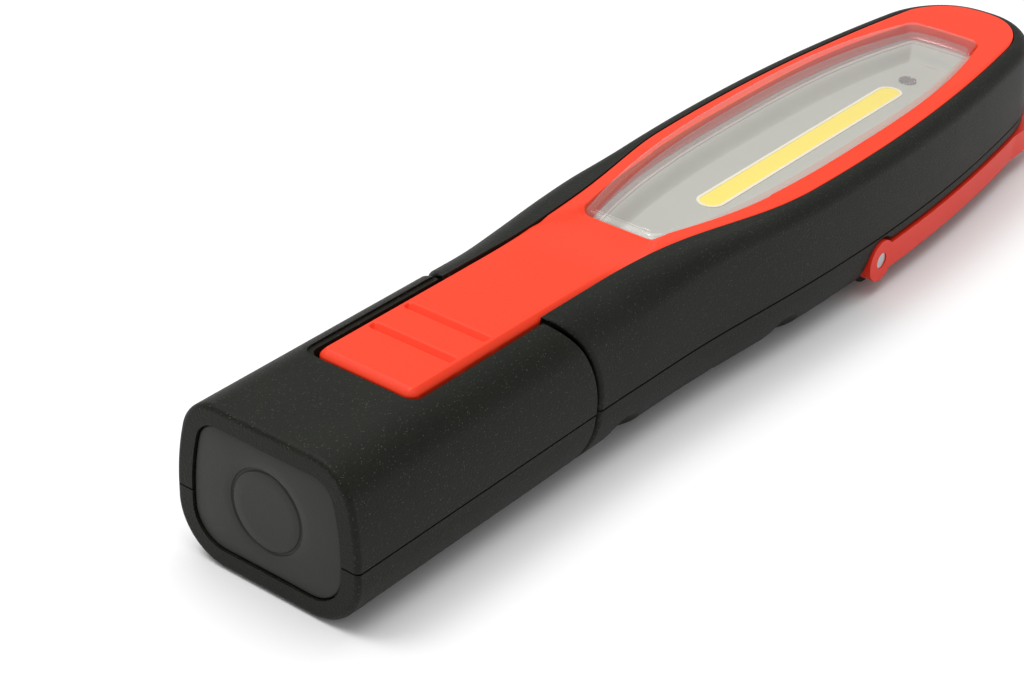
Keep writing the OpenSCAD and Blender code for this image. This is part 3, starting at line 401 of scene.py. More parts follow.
def cut(ob, shapes, op="DIFFERENCE"):
    """Cut these shapes from the object, or join them to it."""
    cutters = [new_object("cutter", *s) for s in shapes]
    for c in cutters:
        m = ob.modifiers.new("cut", "BOOLEAN")
        m.operation = op
        m.solver = "EXACT"
        m.object = c
    apply_modifiers(ob)
    for c in cutters:
        me = c.data
        bpy.data.objects.remove(c)
        bpy.data.meshes.remove(me)


def round_edges(ob, width, segments, angle):
    """Rounded edges of this width in mm where faces meet at more than the angle."""
    b = ob.modifiers.new("round", "BEVEL")
    b.width = width / 1000
    b.segments = segments
    b.limit_method = "ANGLE"
    b.angle_limit = math.radians(angle)
    b.harden_normals = False
    b.use_clamp_overlap = True


def weighted(ob):
    """Normals weighted by area, so that large faces look even."""
    w = ob.modifiers.new("normals", "WEIGHTED_NORMAL")
    w.keep_sharp = False


# ------------------------------------------------------------------ materials
def new_material(name):
    """Empty material with a Principled shader linked to its output."""
    m = bpy.data.materials.new(name)
    m.use_nodes = True
    t = m.node_tree
    t.nodes.clear()
    out = t.nodes.new("ShaderNodeOutputMaterial")
    bs = t.nodes.new("ShaderNodeBsdfPrincipled")
    t.links.new(bs.outputs[0], out.inputs[0])
    return m, t, bs


def map_range(t, src, low, high, side="To"):
    """Map 0 to 1 on low to high, or with side From, low to high on 0 to 1."""
    r = t.nodes.new("ShaderNodeMapRange")
    r.inputs[side + " Min"].default_value = low
    r.inputs[side + " Max"].default_value = high
    t.links.new(src, r.inputs["Value"])
    return r.outputs[0]


def math_node(t, op, a, b):
    """One arithmetic step; a and b are numbers or node outputs."""
    m = t.nodes.new("ShaderNodeMath")
    m.operation = op
    for k, v in enumerate((a, b)):
        if isinstance(v, (int, float)):
            m.inputs[k].default_value = v
        else:
            t.links.new(v, m.inputs[k])
    return m.outputs[0]


def grain_group():
    """Colour and bump of a moulded surface: fine grain, soft mottling, rare specks."""
    g = bpy.data.node_groups.new("moulded_grain", "ShaderNodeTree")
    for n in ("Base", "Speck"):
        g.interface.new_socket(n, in_out="INPUT", socket_type="NodeSocketColor")
    for n in ("Scale", "Mottle", "Specks", "Bump", "Rough"):
        g.interface.new_socket(n, in_out="INPUT", socket_type="NodeSocketFloat")
    for n, kind in (("Color", "Color"), ("Roughness", "Float"), ("Normal", "Vector")):
        g.interface.new_socket(n, in_out="OUTPUT", socket_type="NodeSocket" + kind)
    given = g.nodes.new("NodeGroupInput").outputs
    result = g.nodes.new("NodeGroupOutput").inputs
    place = g.nodes.new("ShaderNodeTexCoord").outputs["Object"]
    link = g.links.new

    def noise(rough):
        """Noise texture over the object, its scale still to be set."""
        n = g.nodes.new("ShaderNodeTexNoise")
        n.inputs["Detail"].default_value = 3.0
        n.inputs["Roughness"].default_value = rough
        link(place, n.inputs["Vector"])
        return n

    fine = noise(0.6)
    link(given["Scale"], fine.inputs["Scale"])
    wide = noise(0.5)
    wide.inputs["Scale"].default_value = 90.0
    # specks: the middles of a few cells, picked by the cell's random colour
    dots = g.nodes.new("ShaderNodeTexVoronoi")
    dots.inputs["Scale"].default_value = 3800.0
    link(place, dots.inputs["Vector"])
    pick = g.nodes.new("ShaderNodeSeparateColor")
    link(dots.outputs["Color"], pick.inputs[0])
    chosen = map_range(g, pick.outputs[0], 0.84, 0.97, "From")
    middle = map_range(g, dots.outputs["Distance"], 0.36, 0.2, "From")
    rare = math_node(g, "MULTIPLY", chosen, middle)
    amount = math_node(g, "MULTIPLY", rare, given["Specks"])
    # mottled brightness: fine noise and 0.6 of the wide noise, about zero
    wide_part = math_node(g, "SUBTRACT", wide.outputs[0], 0.5)
    fine_part = math_node(g, "SUBTRACT", fine.outputs[0], 0.5)
    mottle = math_node(g, "ADD", math_node(g, "MULTIPLY", wide_part, 0.6), fine_part)
    value = math_node(g, "ADD", math_node(g, "MULTIPLY", mottle, given["Mottle"]), 1.0)
    hsv = g.nodes.new("ShaderNodeHueSaturation")
    link(given["Base"], hsv.inputs["Color"])
    link(value, hsv.inputs["Value"])
    mix = g.nodes.new("ShaderNodeMix")
    mix.data_type = "RGBA"
    link(amount, mix.inputs["Factor"])
    link(hsv.outputs[0], mix.inputs[6])
    link(given["Speck"], mix.inputs[7])
    link(mix.outputs[2], result["Color"])
    rough = math_node(g, "ADD", given["Rough"], math_node(g, "MULTIPLY", mottle, 0.16))
    link(rough, result["Roughness"])
    height = math_node(g, "ADD", fine.outputs[0], math_node(g, "MULTIPLY", amount, 0.5))
    bump = g.nodes.new("ShaderNodeBump")
    bump.inputs["Distance"].default_value = 0.00013
    link(given["Bump"], bump.inputs["Strength"])
    link(height, bump.inputs["Height"])
    link(bump.outputs[0], result["Normal"])
    return g


GRAIN = grain_group()


def srgb(r, g, b):
    """Screen colour in 0 to 255 to linear values."""
    c = np.array([r, g, b]) / 255
    return tuple(np.where(c <= 0.04045, c / 12.92, ((c + 0.055) / 1.055) ** 2.4)) + (1.0,)


def moulded(name, rgb, rough, speck, scale, mottle, specks, bump, metallic=0.0, spec=0.5):
    """Material on the grain group: colours in 0 to 255, scale in grains per metre."""
    m, t, bs = new_material(name)
    g = t.nodes.new("ShaderNodeGroup")
    g.node_tree = GRAIN
    values = {
        "Base": srgb(*rgb), "Speck": srgb(*speck), "Scale": scale, "Mottle": mottle,
        "Specks": specks, "Bump": bump, "Rough": rough,
    }
    for k, v in values.items():
        g.inputs[k].default_value = v
    t.links.new(g.outputs["Color"], bs.inputs["Base Color"])
    t.links.new(g.outputs["Roughness"], bs.inputs["Roughness"])
    t.links.new(g.outputs["Normal"], bs.inputs["Normal"])
    bs.inputs["Metallic"].default_value = metallic
    bs.inputs["Specular IOR Level"].default_value = spec
    return m


def metal(name, rgb, rough, speck, scale, mottle, bump=0.15):
    """Metal on the grain group, with few specks."""
    return moulded(name, rgb, rough, speck, scale, mottle, 0.1, bump, metallic=1.0)


# name, colour, roughness, speck colour, grain scale, mottling, specks, bump
SLEEVE = moulded("sleeve_black", (22, 24, 18), 0.5, (100, 102, 88), 2400, 1.2, 0.7, 0.8,
                 spec=0.14)
HOUSING = moulded("housing_black", (25, 27, 22), 0.52, (100, 100, 88), 2400, 1.2, 0.6, 0.8,
                  spec=0.14)
PAD = moulded("pad_charcoal", (44, 45, 42), 0.46, (84, 84, 78), 2000, 0.2, 0.2, 0.2, spec=0.2)
ARM = moulded("arm_black", (22, 22, 20), 0.55, (64, 64, 60), 2200, 0.4, 0.3, 0.4, spec=0.2)
RED = moulded("panel_red", (236, 58, 26), 0.42, (250, 120, 90), 1800, 0.07, 0.0, 0.2, spec=0.26)
BAIL_RED = moulded("bail_red", (226, 48, 26), 0.44, (250, 110, 80), 1800, 0.08, 0.0, 0.15,
                   spec=0.25)
GREY = moulded("tray_grey", (184, 186, 178), 0.55, (160, 160, 156), 1500, 0.06, 0.1, 0.15, spec=0.3)
RUBBER = moulded("soft_rubber", (27, 27, 26), 0.62, (60, 60, 60), 1800, 0.3, 0.1, 0.35, spec=0.2)
SEAL = moulded("clear_silicone", (200, 198, 192), 0.6, (120, 120, 118), 1800, 0.15, 0.1, 0.25,
               spec=0.3)
BOARD_WHITE = moulded("board_white", (208, 208, 200), 0.5, (180, 180, 175), 1500, 0.05, 0.1, 0.1)
BORDER = moulded("border_white", (243, 238, 214), 0.4, (230, 225, 200), 1500, 0.04, 0.1, 0.1)
PHOSPHOR = moulded("phosphor_yellow", (255, 234, 96), 0.5, (248, 216, 92), 1800, 0.08, 0.4, 0.2)
BOARD = moulded("board_green", (24, 96, 62), 0.4, (20, 70, 45), 900, 0.2, 0.2, 0.15)
PARTS = moulded("parts_black", (28, 28, 30), 0.5, (60, 60, 60), 1500, 0.2, 0.1, 0.2)
WRAP = moulded("cell_wrap", (52, 104, 152), 0.25, (70, 120, 165), 700, 0.06, 0.0, 0.1)
FOAM = moulded("foam_grey", (56, 56, 56), 0.85, (90, 90, 90), 1200, 0.4, 0.5, 0.8)
SWITCH = moulded("switch_black", (36, 36, 38), 0.45, (70, 70, 70), 1500, 0.2, 0.1, 0.2)
WIRE_RED = moulded("wire_red", (190, 30, 26), 0.45, (150, 30, 26), 1600, 0.12, 0.1, 0.2)
WIRE_WHITE = moulded("wire_white", (222, 220, 212), 0.45, (190, 190, 184), 1600, 0.06, 0.1, 0.2)
STEEL = metal("zinc_steel", (190, 192, 195), 0.3, (150, 150, 150), 900, 0.12)
NICKEL = metal("nickel", (200, 198, 190), 0.25, (160, 160, 150), 900, 0.1, 0.1)
SPRING = metal("spring_steel", (150, 150, 146), 0.35, (110, 110, 106), 900, 0.15)
ALU = metal("bare_aluminium", (205, 206, 208), 0.38, (170, 170, 170), 1100, 0.1, 0.2)


def clear_plastic():
    """Clear moulded cap: a see-through sheet, mixed with gloss that rises as the fourth
    power of the turn away from the eye."""
    m, t, gloss = new_material("lens_clear")
    place = t.nodes.new("ShaderNodeTexCoord")
    waves = t.nodes.new("ShaderNodeTexNoise")
    waves.inputs["Scale"].default_value = 60.0
    waves.inputs["Detail"].default_value = 2.0
    t.links.new(place.outputs["Object"], waves.inputs["Vector"])
    bump = t.nodes.new("ShaderNodeBump")
    bump.inputs["Distance"].default_value = 0.0001
    bump.inputs["Strength"].default_value = 0.06
    t.links.new(waves.outputs[0], bump.inputs["Height"])
    t.links.new(bump.outputs[0], gloss.inputs["Normal"])
    t.links.new(map_range(t, waves.outputs[0], 0.05, 0.12), gloss.inputs["Roughness"])
    gloss.inputs["Base Color"].default_value = (0.95, 0.95, 0.95, 1)
    gloss.inputs["Metallic"].default_value = 1.0

    def facing(soft):
        """0 where the surface faces the eye, 1 where it turns away."""
        n = t.nodes.new("ShaderNodeLayerWeight")
        n.inputs["Blend"].default_value = soft
        return n.outputs["Facing"]

    shade = map_range(t, facing(0.3), 0.992, 0.95)
    tint = t.nodes.new("ShaderNodeCombineColor")
    for k in range(3):
        t.links.new(shade, tint.inputs[k])
    sheet = t.nodes.new("ShaderNodeBsdfTransparent")
    t.links.new(tint.outputs[0], sheet.inputs[0])
    rise = math_node(t, "POWER", facing(0.5), 4.0)
    mix = t.nodes.new("ShaderNodeMixShader")
    t.links.new(map_range(t, rise, 0.06, 0.62), mix.inputs[0])
    t.links.new(sheet.outputs[0], mix.inputs[1])
    t.links.new(gloss.outputs[0], mix.inputs[2])
    out = [k for k in t.nodes if k.type == "OUTPUT_MATERIAL"][0]
    t.links.new(mix.outputs[0], out.inputs[0])
    return m


CLEAR = clear_plastic()

NODE_LOOK = {
    "base_front_shell": SLEEVE, "base_rear_shell": SLEEVE, "magnet_pad": PAD,
    "base_magnet": NICKEL, "magnet_keeper": STEEL, "hinge_pin": STEEL,
    "friction_washers": SPRING, "base_screws": STEEL, "hinge_arm": ARM,
    "front_shell": HOUSING, "rear_shell": HOUSING, "front_panel": RED,
    "shell_screws": STEEL, "lens": CLEAR, "lens_seal": SEAL, "reflector_tray": GREY,
    "strip_board_plate": BOARD_WHITE, "strip_border": BORDER, "strip_phosphor": PHOSPHOR,
    "heat_spreader": ALU, "spreader_screw": STEEL, "battery_cell": WRAP,
    "cell_end_pads": FOAM, "cell_tabs": NICKEL, "control_board": BOARD,
    "board_parts": PARTS, "board_screws": STEEL, "push_switch": SWITCH,
    "power_button": BAIL_RED, "charge_port": HOUSING, "charging_socket": NICKEL,
    "charge_board": BOARD, "port_flap": RUBBER, "bail": BAIL_RED, "bail_pins": STEEL,
    "cell_leads": WIRE_RED, "charge_lead": WIRE_WHITE, "strip_leads": WIRE_WHITE,
}
for node, look in NODE_LOOK.items():
    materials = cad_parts[node].data.materials
    materials.clear()
    materials.append(look)


# ------------------------------------------------------------------ foot
def foot_half(name, node, front):
    """Half of the foot: rounded rim at the magnet end, round end about the hinge."""
    rows = []
    for a in np.radians(np.linspace(0, 90, 8)):
        sec = half_sec(front, RIM_ROUND * (1 - math.sin(a)))
        rows.append(np.c_[np.full(len(sec), RIM_ROUND * (1 - math.cos(a))), sec])
    # soft edge of the round end: how far short of its radius, how far inside the skin
    for short, inside in ((0.45, 0), (0.2, 0.1), (0.05, 0.27), (0, 0.45)):
        sec = half_sec(front, inside)
        rows.append(np.c_[ring_x(sec[:, 1], FOOT_RADIUS - short), sec])
    ob = build(name, loft(rows), SLEEVE, "base", node)
    cuts = [slot_mesh(SLOT_X, SLOT_HALF, -40, 40, 2.0),
            prism(half_sec(front, POCKET_WALL, -1), -1, POCKET_DEEP)]
    if front:
        cuts.append(slot_mesh(SLOT_X - STEP_WIDE, SLOT_HALF + STEP_WIDE, STEP_Z, 40, 2.6))
    else:
        for y in (-FOOT_SCREW_Y, FOOT_SCREW_Y):
            cuts.append(tube_mesh((FOOT_SCREW_X, y, -20), 2, FOOT_BORE, 11.4))
    cut(ob, cuts)
    smooth(ob)
    round_edges(ob, 0.3, 3, 35)
    weighted(ob)


def pad():
    """Rounded plate in the rim with a plain round grip groove in its middle."""
    loop = np.vstack([half_sec(True, PAD_WALL, 0), half_sec(False, PAD_WALL, 0)[::-1][1:-1]])
    middle = np.array([0, HINGE_Z])
    shut = np.vstack([loop, loop[:1]])
    run = np.r_[0, np.cumsum(np.linalg.norm(np.diff(shut, axis=0), axis=1))]
    at = np.linspace(0, run[-1], 181)[:-1]
    loop = np.c_[np.interp(at, run, shut[:, 0]), np.interp(at, run, shut[:, 1])]
    n = len(loop)
    d = loop - middle
    rows = []
    # side and rounded edge: inset and place along X
    for inset, x in ((0, PAD_BACK), (0, 0.75), (0.06, 0.58), (0.2, 0.45), (0.4, PAD_FACE)):
        ring = middle + d * (1 - inset / np.linalg.norm(d, axis=1))[:, None]
        rows.append(np.c_[np.full(n, x), ring])
    # face with the groove: radius and depth below the face
    face = ((9.2, 0), (7.55, 0), (7.48, 0.03), (7.42, 0.14), (7.35, 0.3), (6.95, 0.3),
            (6.88, 0.14), (6.82, 0.03), (6.75, 0), (5.0, 0), (2.5, 0))
    ang = np.arctan2(ring[:, 1] - HINGE_Z, ring[:, 0])
    room = np.linalg.norm(ring - middle, axis=1) * 0.92
    for r, deep in face:
        circle = middle + np.c_[np.cos(ang), np.sin(ang)] * np.minimum(r, room)[:, None]
        rows.append(np.c_[np.full(n, PAD_FACE + deep), circle])
    rows.append(np.tile([PAD_FACE, *middle], (n, 1)))
    points, faces = grid_mesh(np.swapaxes(np.stack(rows), 0, 1), wrap=True)
    back = tuple(k * len(rows) for k in range(n))
    shape = points, list(map(tuple, faces)) + [back]
    build("pad_plate", shape, PAD, "base", "magnet_pad")


foot_half("base_front_cover", "base_front_shell", True)
foot_half("base_rear_cover", "base_rear_shell", False)
pad()


# ------------------------------------------------------------------ housing
SIDE_X = np.r_[np.linspace(NECK_X, BAIL_X - 0.06, 58), np.linspace(BAIL_X + 0.06, TIP, 44)]


def neck_rows(y, z):
    """Rows from the hollow end about the hinge axis up to the neck, its edge rounded by
    a quarter circle. In the front half the rounding fades out beside the tongue."""
    rows = []
    r = 0.9
    beside, fade_wide = 10.6, 1.6
    dy, dz = np.gradient(y), np.gradient(z)
    side = np.sign(np.sum(dz * y - dy * z)) / np.maximum(np.hypot(dz, dy), 1e-9)
    fade = np.clip((np.abs(y) - beside) / fade_wide, 0, 1) if z[-1] > 0 else 1
    for d in (0, 0.06, 0.22, 0.48, r):
        t = (r - math.sqrt(r * r - (r - d) ** 2)) * fade
        yy = y - t * dz * side
        zz = z + t * dy * side
        yy[-1] = y[-1]
        zz[0] = z[0]
        rows.append(np.stack([ring_x(zz, HOLLOW_RADIUS + d), yy, zz], -1))
    end = ring_x(z, HOLLOW_RADIUS + r)
    for t in np.linspace(0, 1, 12)[1:-1]:
        rows.append(np.stack([end + (NECK_X - end) * t, y, z], -1))
    return np.stack(rows)


def shell_grid(inset, height, plan, normals):
    """Neck rows, then each plan point minus the inset along its normal, at its height."""
    x = plan[:, None, 0] - inset * normals[:, None, 0]
    y = plan[:, None, 1] - inset * normals[:, None, 1]
    G = np.stack([x, y, height], -1)
    return np.concatenate([neck_rows(G[0, :, 1], G[0, :, 2]), G], 0)


def to_middle(G, count):
    """Columns from the last one of G straight in to the middle plane."""
    t = np.linspace(0, 1, count)[None, 1:, None]
    last = G[:, -1:]
    return last * (1 - t) + last * [1, 0, 1] * t


def mirror_columns(G):
    """Right side from the edge in to the middle, then the left side out again."""
    return np.concatenate([G * [1, -1, 1], G[:, -2::-1]], 1)


def front_housing():
    """Front half with its edge round the panel, and the charging port's opening."""
    plan, normals = plan_path(SIDE_X)
    inset, height = front_section(plan[:, 0])
    edge = (panel_inset(plan[:, 0]) - PANEL_GAP)[:, None]
    edge[plan[:, 0] > TIP] = MARGIN - PANEL_GAP
    between = (inset[:, -1:] + edge) / 2
    top = top_at(plan[:, 0])[:, None]
    inset = np.hstack([inset, between, edge])
    height = np.hstack([height, top - 0.004, top])
    G = shell_grid(inset, height, plan, normals)
    G = np.concatenate([G * [1, -1, 1], G[-2::-1]], 0)
    ob = build("housing_front", grid_mesh(G), HOUSING, "lamp", "front_shell")
    close_skin(ob, WALL)
    cut(ob, [box_mesh(*PORT)])
    smooth(ob)
    round_edges(ob, 0.3, 3, 38)
    weighted(ob)


def finger_dent(x, side):
    """Dent across the rear corner: a cylinder square to it, sized by depth and length."""
    r = (DENT_LONG**2 / 4 + DENT_DEEP**2) / (2 * DENT_DEEP)
    v, f = tube_mesh((0, 0, -9), 2, r, 18, 160)
    k = math.sqrt(0.5)
    out = np.array([0, k * side, -k])
    along = np.array([0, k * side, k])
    centre = np.array([x, side * (float(head_width(x)) - REAR_CORNER), REAR_CORNER - REAR])
    middle = centre + out * (REAR_CORNER - DENT_DEEP + r)
    return middle + v[:, :1] * [1, 0, 0] + v[:, 1:2] * out + v[:, 2:] * along, f


def rear_housing():
    """Rear half with button hole, screw bores, finger dents and pockets for the eyes."""
    plan, normals = plan_path(SIDE_X)
    G = shell_grid(*rear_section(plan[:, 0]), plan, normals)
    G = mirror_columns(np.concatenate([G, to_middle(G, 9)], 1))
    ob = build("housing_rear", grid_mesh(G), HOUSING, "lamp", "rear_shell")
    width = float(head_width(BAIL_X))
    cuts = [tube_mesh((BUTTON_X, 0, -20), 2, BUTTON_HOLE, 15, 96)]
    for side in (-1, 1):
        pocket = (BAIL_X, side * (width - LEDGE + 0.2), BAIL_Z)
        cuts.append(tube_mesh(pocket, 1, EYE_POCKET, side * 12))
        cuts += [tube_mesh((x, side * y, -20), 2, HOUSING_BORE, 13.4) for x, y in SCREWS]
        cuts += [finger_dent(x, side) for x in DENTS]
    close_skin(ob, WALL)
    cut(ob, cuts)
    smooth(ob)
    weighted(ob)
    for side in (-1, 1):
        start = (BAIL_X, side * (width - 5), BAIL_Z)
        floor = tube_mesh(start, 1, EYE_POCKET + 0.5, side * (5 - LEDGE + 0.18))
        build("eye_pocket_floor", floor, HOUSING, "lamp", "rear_shell")


front_housing()
rear_housing()


# ------------------------------------------------------------------ lens and tray
def lens_width(x):
    """Half-width: widest in the middle, taper with the power 2.7 of the distance."""
    share = np.abs(x - LENS_X - LENS_LENGTH / 2) / (LENS_LENGTH / 2)
    return LENS_HALF - LENS_TAPER * share ** 2.7


def lens_top(x):
    """Height of the face: a parabola that is 1.4 lower at both ends."""
    return LENS_TOP - 1.4 * ((x - LENS_X - LENS_LENGTH / 2) / (LENS_LENGTH / 2)) ** 2


def lens_half(grow, n_side=70):
    """Half outline grown outwards: near end, corner, long side, corner, bowed far end."""
    x0 = LENS_X
    x1 = LENS_X + LENS_LENGTH
    r = LENS_CORNER + grow
    y = float(lens_width(x0 + LENS_CORNER)) - LENS_CORNER
    t = np.linspace(0, 1, 5)[:-1]
    q = np.radians(np.linspace(0, 90, 12))
    near = np.c_[np.full(4, x0 - grow), y * t]
    turn_in = np.c_[x0 + LENS_CORNER - r * np.cos(q), y + r * np.sin(q)]
    x = np.linspace(x0 + LENS_CORNER, x1 - LENS_CORNER, n_side)[1:-1]
    side = np.c_[x, lens_width(x) + grow]
    q = q[::-1]
    turn_out = np.c_[x1 - LENS_CORNER + r * np.cos(q), y + r * np.sin(q)]
    far = np.c_[x1 + grow + 0.3 * (1 - t[::-1] ** 2), y * t[::-1]]
    return np.vstack([near, turn_in, side, turn_out, far])


def lens_side(steps):
    """Rows at (growth, drop below the face, or None for the foot), then a crowned face."""
    rows = []
    for grow, drop in steps:
        h = lens_half(grow)
        z = np.full(len(h), LENS_FOOT) if drop is None else lens_top(h[:, 0]) - drop
        rows.append(np.c_[h, z])
    G = np.stack(rows, 1)
    face = to_middle(G, 9)
    t = np.linspace(0, 1, 9)[1:]
    face[..., 2] += 0.22 * (1 - (1 - t) ** 2)
    return mirror_columns(np.concatenate([G, face], 1))


def lens_cap():
    """Clear cap: straight sides, rounded edge, face with a slight crown, even wall."""
    outer = lens_side(((0, None), (0, 1.1), (-0.03, 0.8), (-0.13, 0.5), (-0.32, 0.24),
                       (-0.6, 0.07), (-0.95, 0.0), (-1.4, -0.03)))
    inner = lens_side(((-1.4, None), (-1.4, 2.3), (-1.47, 1.95), (-1.65, 1.68),
                       (-1.95, 1.55), (-2.3, 1.5)))
    points = np.swapaxes(np.concatenate([outer, inner[:, ::-1]], 1), 0, 1)
    build("lens_cap", grid_mesh(points, wrap=True), CLEAR, "lamp", "lens")


def tray_pan():
    """Shallow dish: flat rim, a soft S-shaped fall, flat floor under the strip. Its rows
    are the lens's outline, scaled about the middle so that they lie up to 3.6 inside."""
    rim = lens_half(1.0)
    rows = [np.c_[rim, np.full(len(rim), TRAY_RIM)]]
    edge = lens_half(-1.5)
    middle = np.array([LENS_X + LENS_LENGTH / 2, 0])
    size = np.array([LENS_LENGTH / 2 - 1.5, LENS_HALF - 1.5])
    for t in np.linspace(0, 1, 13):
        z = TRAY_RIM - (TRAY_RIM - TRAY_FLOOR) * float(blend(0, 1, t))
        row = middle + (edge - middle) * (1 - 3.6 * t / size)
        rows.append(np.c_[row, np.full(len(row), z)])
    G = np.stack(rows, 1)
    G = mirror_columns(np.concatenate([G, to_middle(G, 7)], 1))
    ob = build("tray_pan", grid_mesh(G), GREY, "lamp", "reflector_tray")
    close_skin(ob, TRAY_WALL)
    smooth(ob)
    weighted(ob)


lens_cap()
tray_pan()


# ------------------------------------------------------------------ front panel
def panel_height(x, y):
    """Height of the panel: plateau, crease down to the bezel, thumb grooves, and a bevel
    round the edge that is bowed on the tongue. Each part is blended over a distance."""
    y = np.abs(y)
    half = head_width(x) - panel_inset(x)
    rim = EDGE_Z + EDGE_RISE * blend(50, FALL_X, x)
    rim = rim - (EDGE_Z + EDGE_RISE - HEAD_TOP + 0.1) * blend(FALL_X, FALL_END, x)
    plate = PLATEAU - 0.05 * blend(56, 72, x) - (PLATEAU - BEZEL - 0.3) * blend(71, 89.4, x)
    # the crease runs in from the edge to the lens's near corners
    crease_x, crease_long, corner_y = 79, 9.8, 6.9
    crease = half - (x - crease_x) / crease_long * (half - corner_y)
    crease = np.where(x < crease_x, 99.0, np.maximum(crease, corner_y))
    bezel_top = BEZEL + 0.12
    bezel = bezel_top - (bezel_top - rim - 0.1) * np.clip((y - 14.3) / 3, 0, 1)
    bezel = np.where(x < FALL_END, rim + 0.14 + 0 * y, bezel)
    z = plate + (bezel - plate) * blend(0, 2.2, y - crease) * blend(crease_x, 82, x)
    z = z + (bezel - z) * blend(crease_x + crease_long, 95, x)
    # thumb grooves: a soft slope in and a steep far side
    for start in GROOVES:
        t = (x - start) / GROOVE_LONG
        depth = np.where(t < 0.6, blend(0, 0.6, t), (1 - t) / 0.4)
        depth = np.where((t > 0) & (t < 1), depth, 0)
        z = z - GROOVE_DEEP * depth * np.clip((GROOVE_HALF - y) / 0.15, 0, 1)
    # share of the bevel that is climbed, from the nearer of side, near end and corner
    near = x - TONGUE_X
    side = half - y
    r = TONGUE_ROUND
    e = np.minimum(side / (1.0 - 0.5 * blend(NECK_X, 94, x)), near / 1.25)
    e = np.where((near < r) & (side < r), (r - np.hypot(r - near, r - side)) / 1.12, e)
    e = np.clip(e, 0, 1)
    tongue = 1 - blend(60, 84, x)
    low = rim - 0.4 * tongue
    bow = e + (np.sqrt(1 - (1 - e) ** 2) - e) * 0.35 * tongue
    return np.minimum(z, low + np.maximum(z - low, 0.12) * bow)


def panel_outer():
    """Stations and points of the panel's outer edge, its near corner rounded."""
    end = (0, 0.02, 0.08, 0.18, 0.32, 0.5, 0.7, 1.0, 1.25, 1.4, 1.7)
    across = (-0.01, 0.02, 0.2, 0.4, 0.6, 0.8, 1.0, 1.2, 1.26, 1.32, 1.5, 1.8, 2.08, 2.11)
    xs = np.unique(np.r_[
        [TONGUE_X + d for d in end], [g + d for g in GROOVES for d in across],
        np.linspace(24.5, 86, 66), np.linspace(86.2, 95, 60), np.linspace(96, 140, 50),
        np.linspace(142, TIP, 40)])
    plan, normals = plan_path(xs)
    normals[plan[:, 0] < NECK_X] = [0, 1]
    inset = panel_inset(plan[:, 0])
    inset[plan[:, 0] > TIP] = MARGIN
    outer = plan - inset[:, None] * normals
    r = TONGUE_ROUND
    back = np.clip(r - (outer[:, 0] - TONGUE_X), 0, r)
    outer[:, 1] -= r - np.sqrt(r**2 - back**2)
    return plan, outer


def panel_inner(plan, outer, first, join_x):
    """Inner line: the middle up to the lens, then the lens's outline grown by its gap.
    Along the lens a station is matched by x where the sides face each other, and by its
    share of the run round both ends."""
    lens = lens_half(LENS_GAP, 160)
    seg = np.r_[0, np.cumsum(np.linalg.norm(np.diff(lens, axis=0), axis=1))]
    x = outer[:, 0]
    free_x, turn_x, end_x = 70, 94, 200
    past_corner, round_corner = 2.6, 1.8
    spread = free_x + (LENS_X - LENS_GAP - free_x) * (x - free_x) / (join_x - free_x)
    inner = np.c_[np.where(x < free_x, x, spread), np.zeros(len(x))]
    on_side = lens[:, 1] > 6
    start = np.where((lens[:, 0] > LENS_X + past_corner) & on_side)[0][0]
    far = LENS_X + LENS_LENGTH - past_corner
    stop = np.where((lens[:, 0] < far) & on_side)[0][-1] + 1
    corner = seg[start] + round_corner
    by_x = np.maximum(np.interp(x, lens[start:stop, 0], seg[start:stop]), corner)
    goal = np.where(x < turn_x, (x - join_x) / (turn_x - join_x) * corner, by_x)
    goal[: first + 1] = 0
    run = np.where((x >= end_x) | (plan[:, 0] > TIP))[0]
    before = goal[run[0] - 1]
    goal[run] = before + (seg[-1] - before) * np.arange(1, len(run) + 1) / len(run)
    goal = np.maximum.accumulate(goal)[first:]
    inner[first:] = np.c_[np.interp(goal, seg, lens[:, 0]), np.interp(goal, seg, lens[:, 1])]
    inner[-1, 1] = 0
    return inner


def front_cover():
    """Strips from the outer edge in: the bevel's steps, then even ones to the inner line,
    a wall down at the edge and one down into the lens's opening."""
    join_x, skirt_z, opening_z = 84, 14.6, 12.9
    plan, outer = panel_outer()
    first = np.argmax(outer[:, 0] >= join_x)
    inner = panel_inner(plan, outer, first, join_x)
    steps = (0, 0.12, 0.35, 0.6, 0.85, 1.0, 1.15, 1.5, 1.84, 1.96)
    d = inner - outer
    length = np.linalg.norm(d, axis=1)[:, None]
    way = d / np.maximum(length, 1e-6)
    cols = [outer + way * np.minimum(s, length * 0.45 * (s / steps[-1])) for s in steps]
    bevel = cols[-1]
    cols += [bevel + (inner - bevel) * t for t in np.linspace(0, 1, 15)[1:]]
    xy = np.stack(cols, 1)
    G = np.concatenate([xy, panel_height(xy[..., 0], xy[..., 1])[..., None]], -1)
    skirt = G[:, :1] * [1, 1, 0] + [0, 0, skirt_z]
    opening = G[:, -1:].copy()
    opening[first:, 0, 2] = opening_z
    G = np.concatenate([skirt, G, opening], 1)
    G = np.concatenate([G[:1] * [1, 1, 0] + [0, 0, skirt_z], G], 0)
    n, m = G.shape[:2]
    mask = np.ones((n - 1, m - 1), bool)
    mask[: first + 1, -1] = False
    mask = np.concatenate([mask, np.zeros((1, m - 1), bool), mask[::-1]], 0)
    G = np.concatenate([G * [1, -1, 1], G[::-1]], 0)
    ob = build("front_cover", grid_mesh(G, mask), RED, "lamp", "front_panel")
    weighted(ob)
    round_edges(ob, 0.12, 2, 50)


front_cover()


# ------------------------------------------------------------------ bail
def bail_curve(beside, end):
    """Plan curve of one edge of the bar: beside the housing, then round the tip to end."""
    x = np.linspace(BAIL_X, TIP, 40)
    tx, share = tip_curve(end - TIP, 50)
    return np.c_[np.r_[x, tx], np.r_[head_width(x) + beside, (head_width(TIP) + beside) * share]]


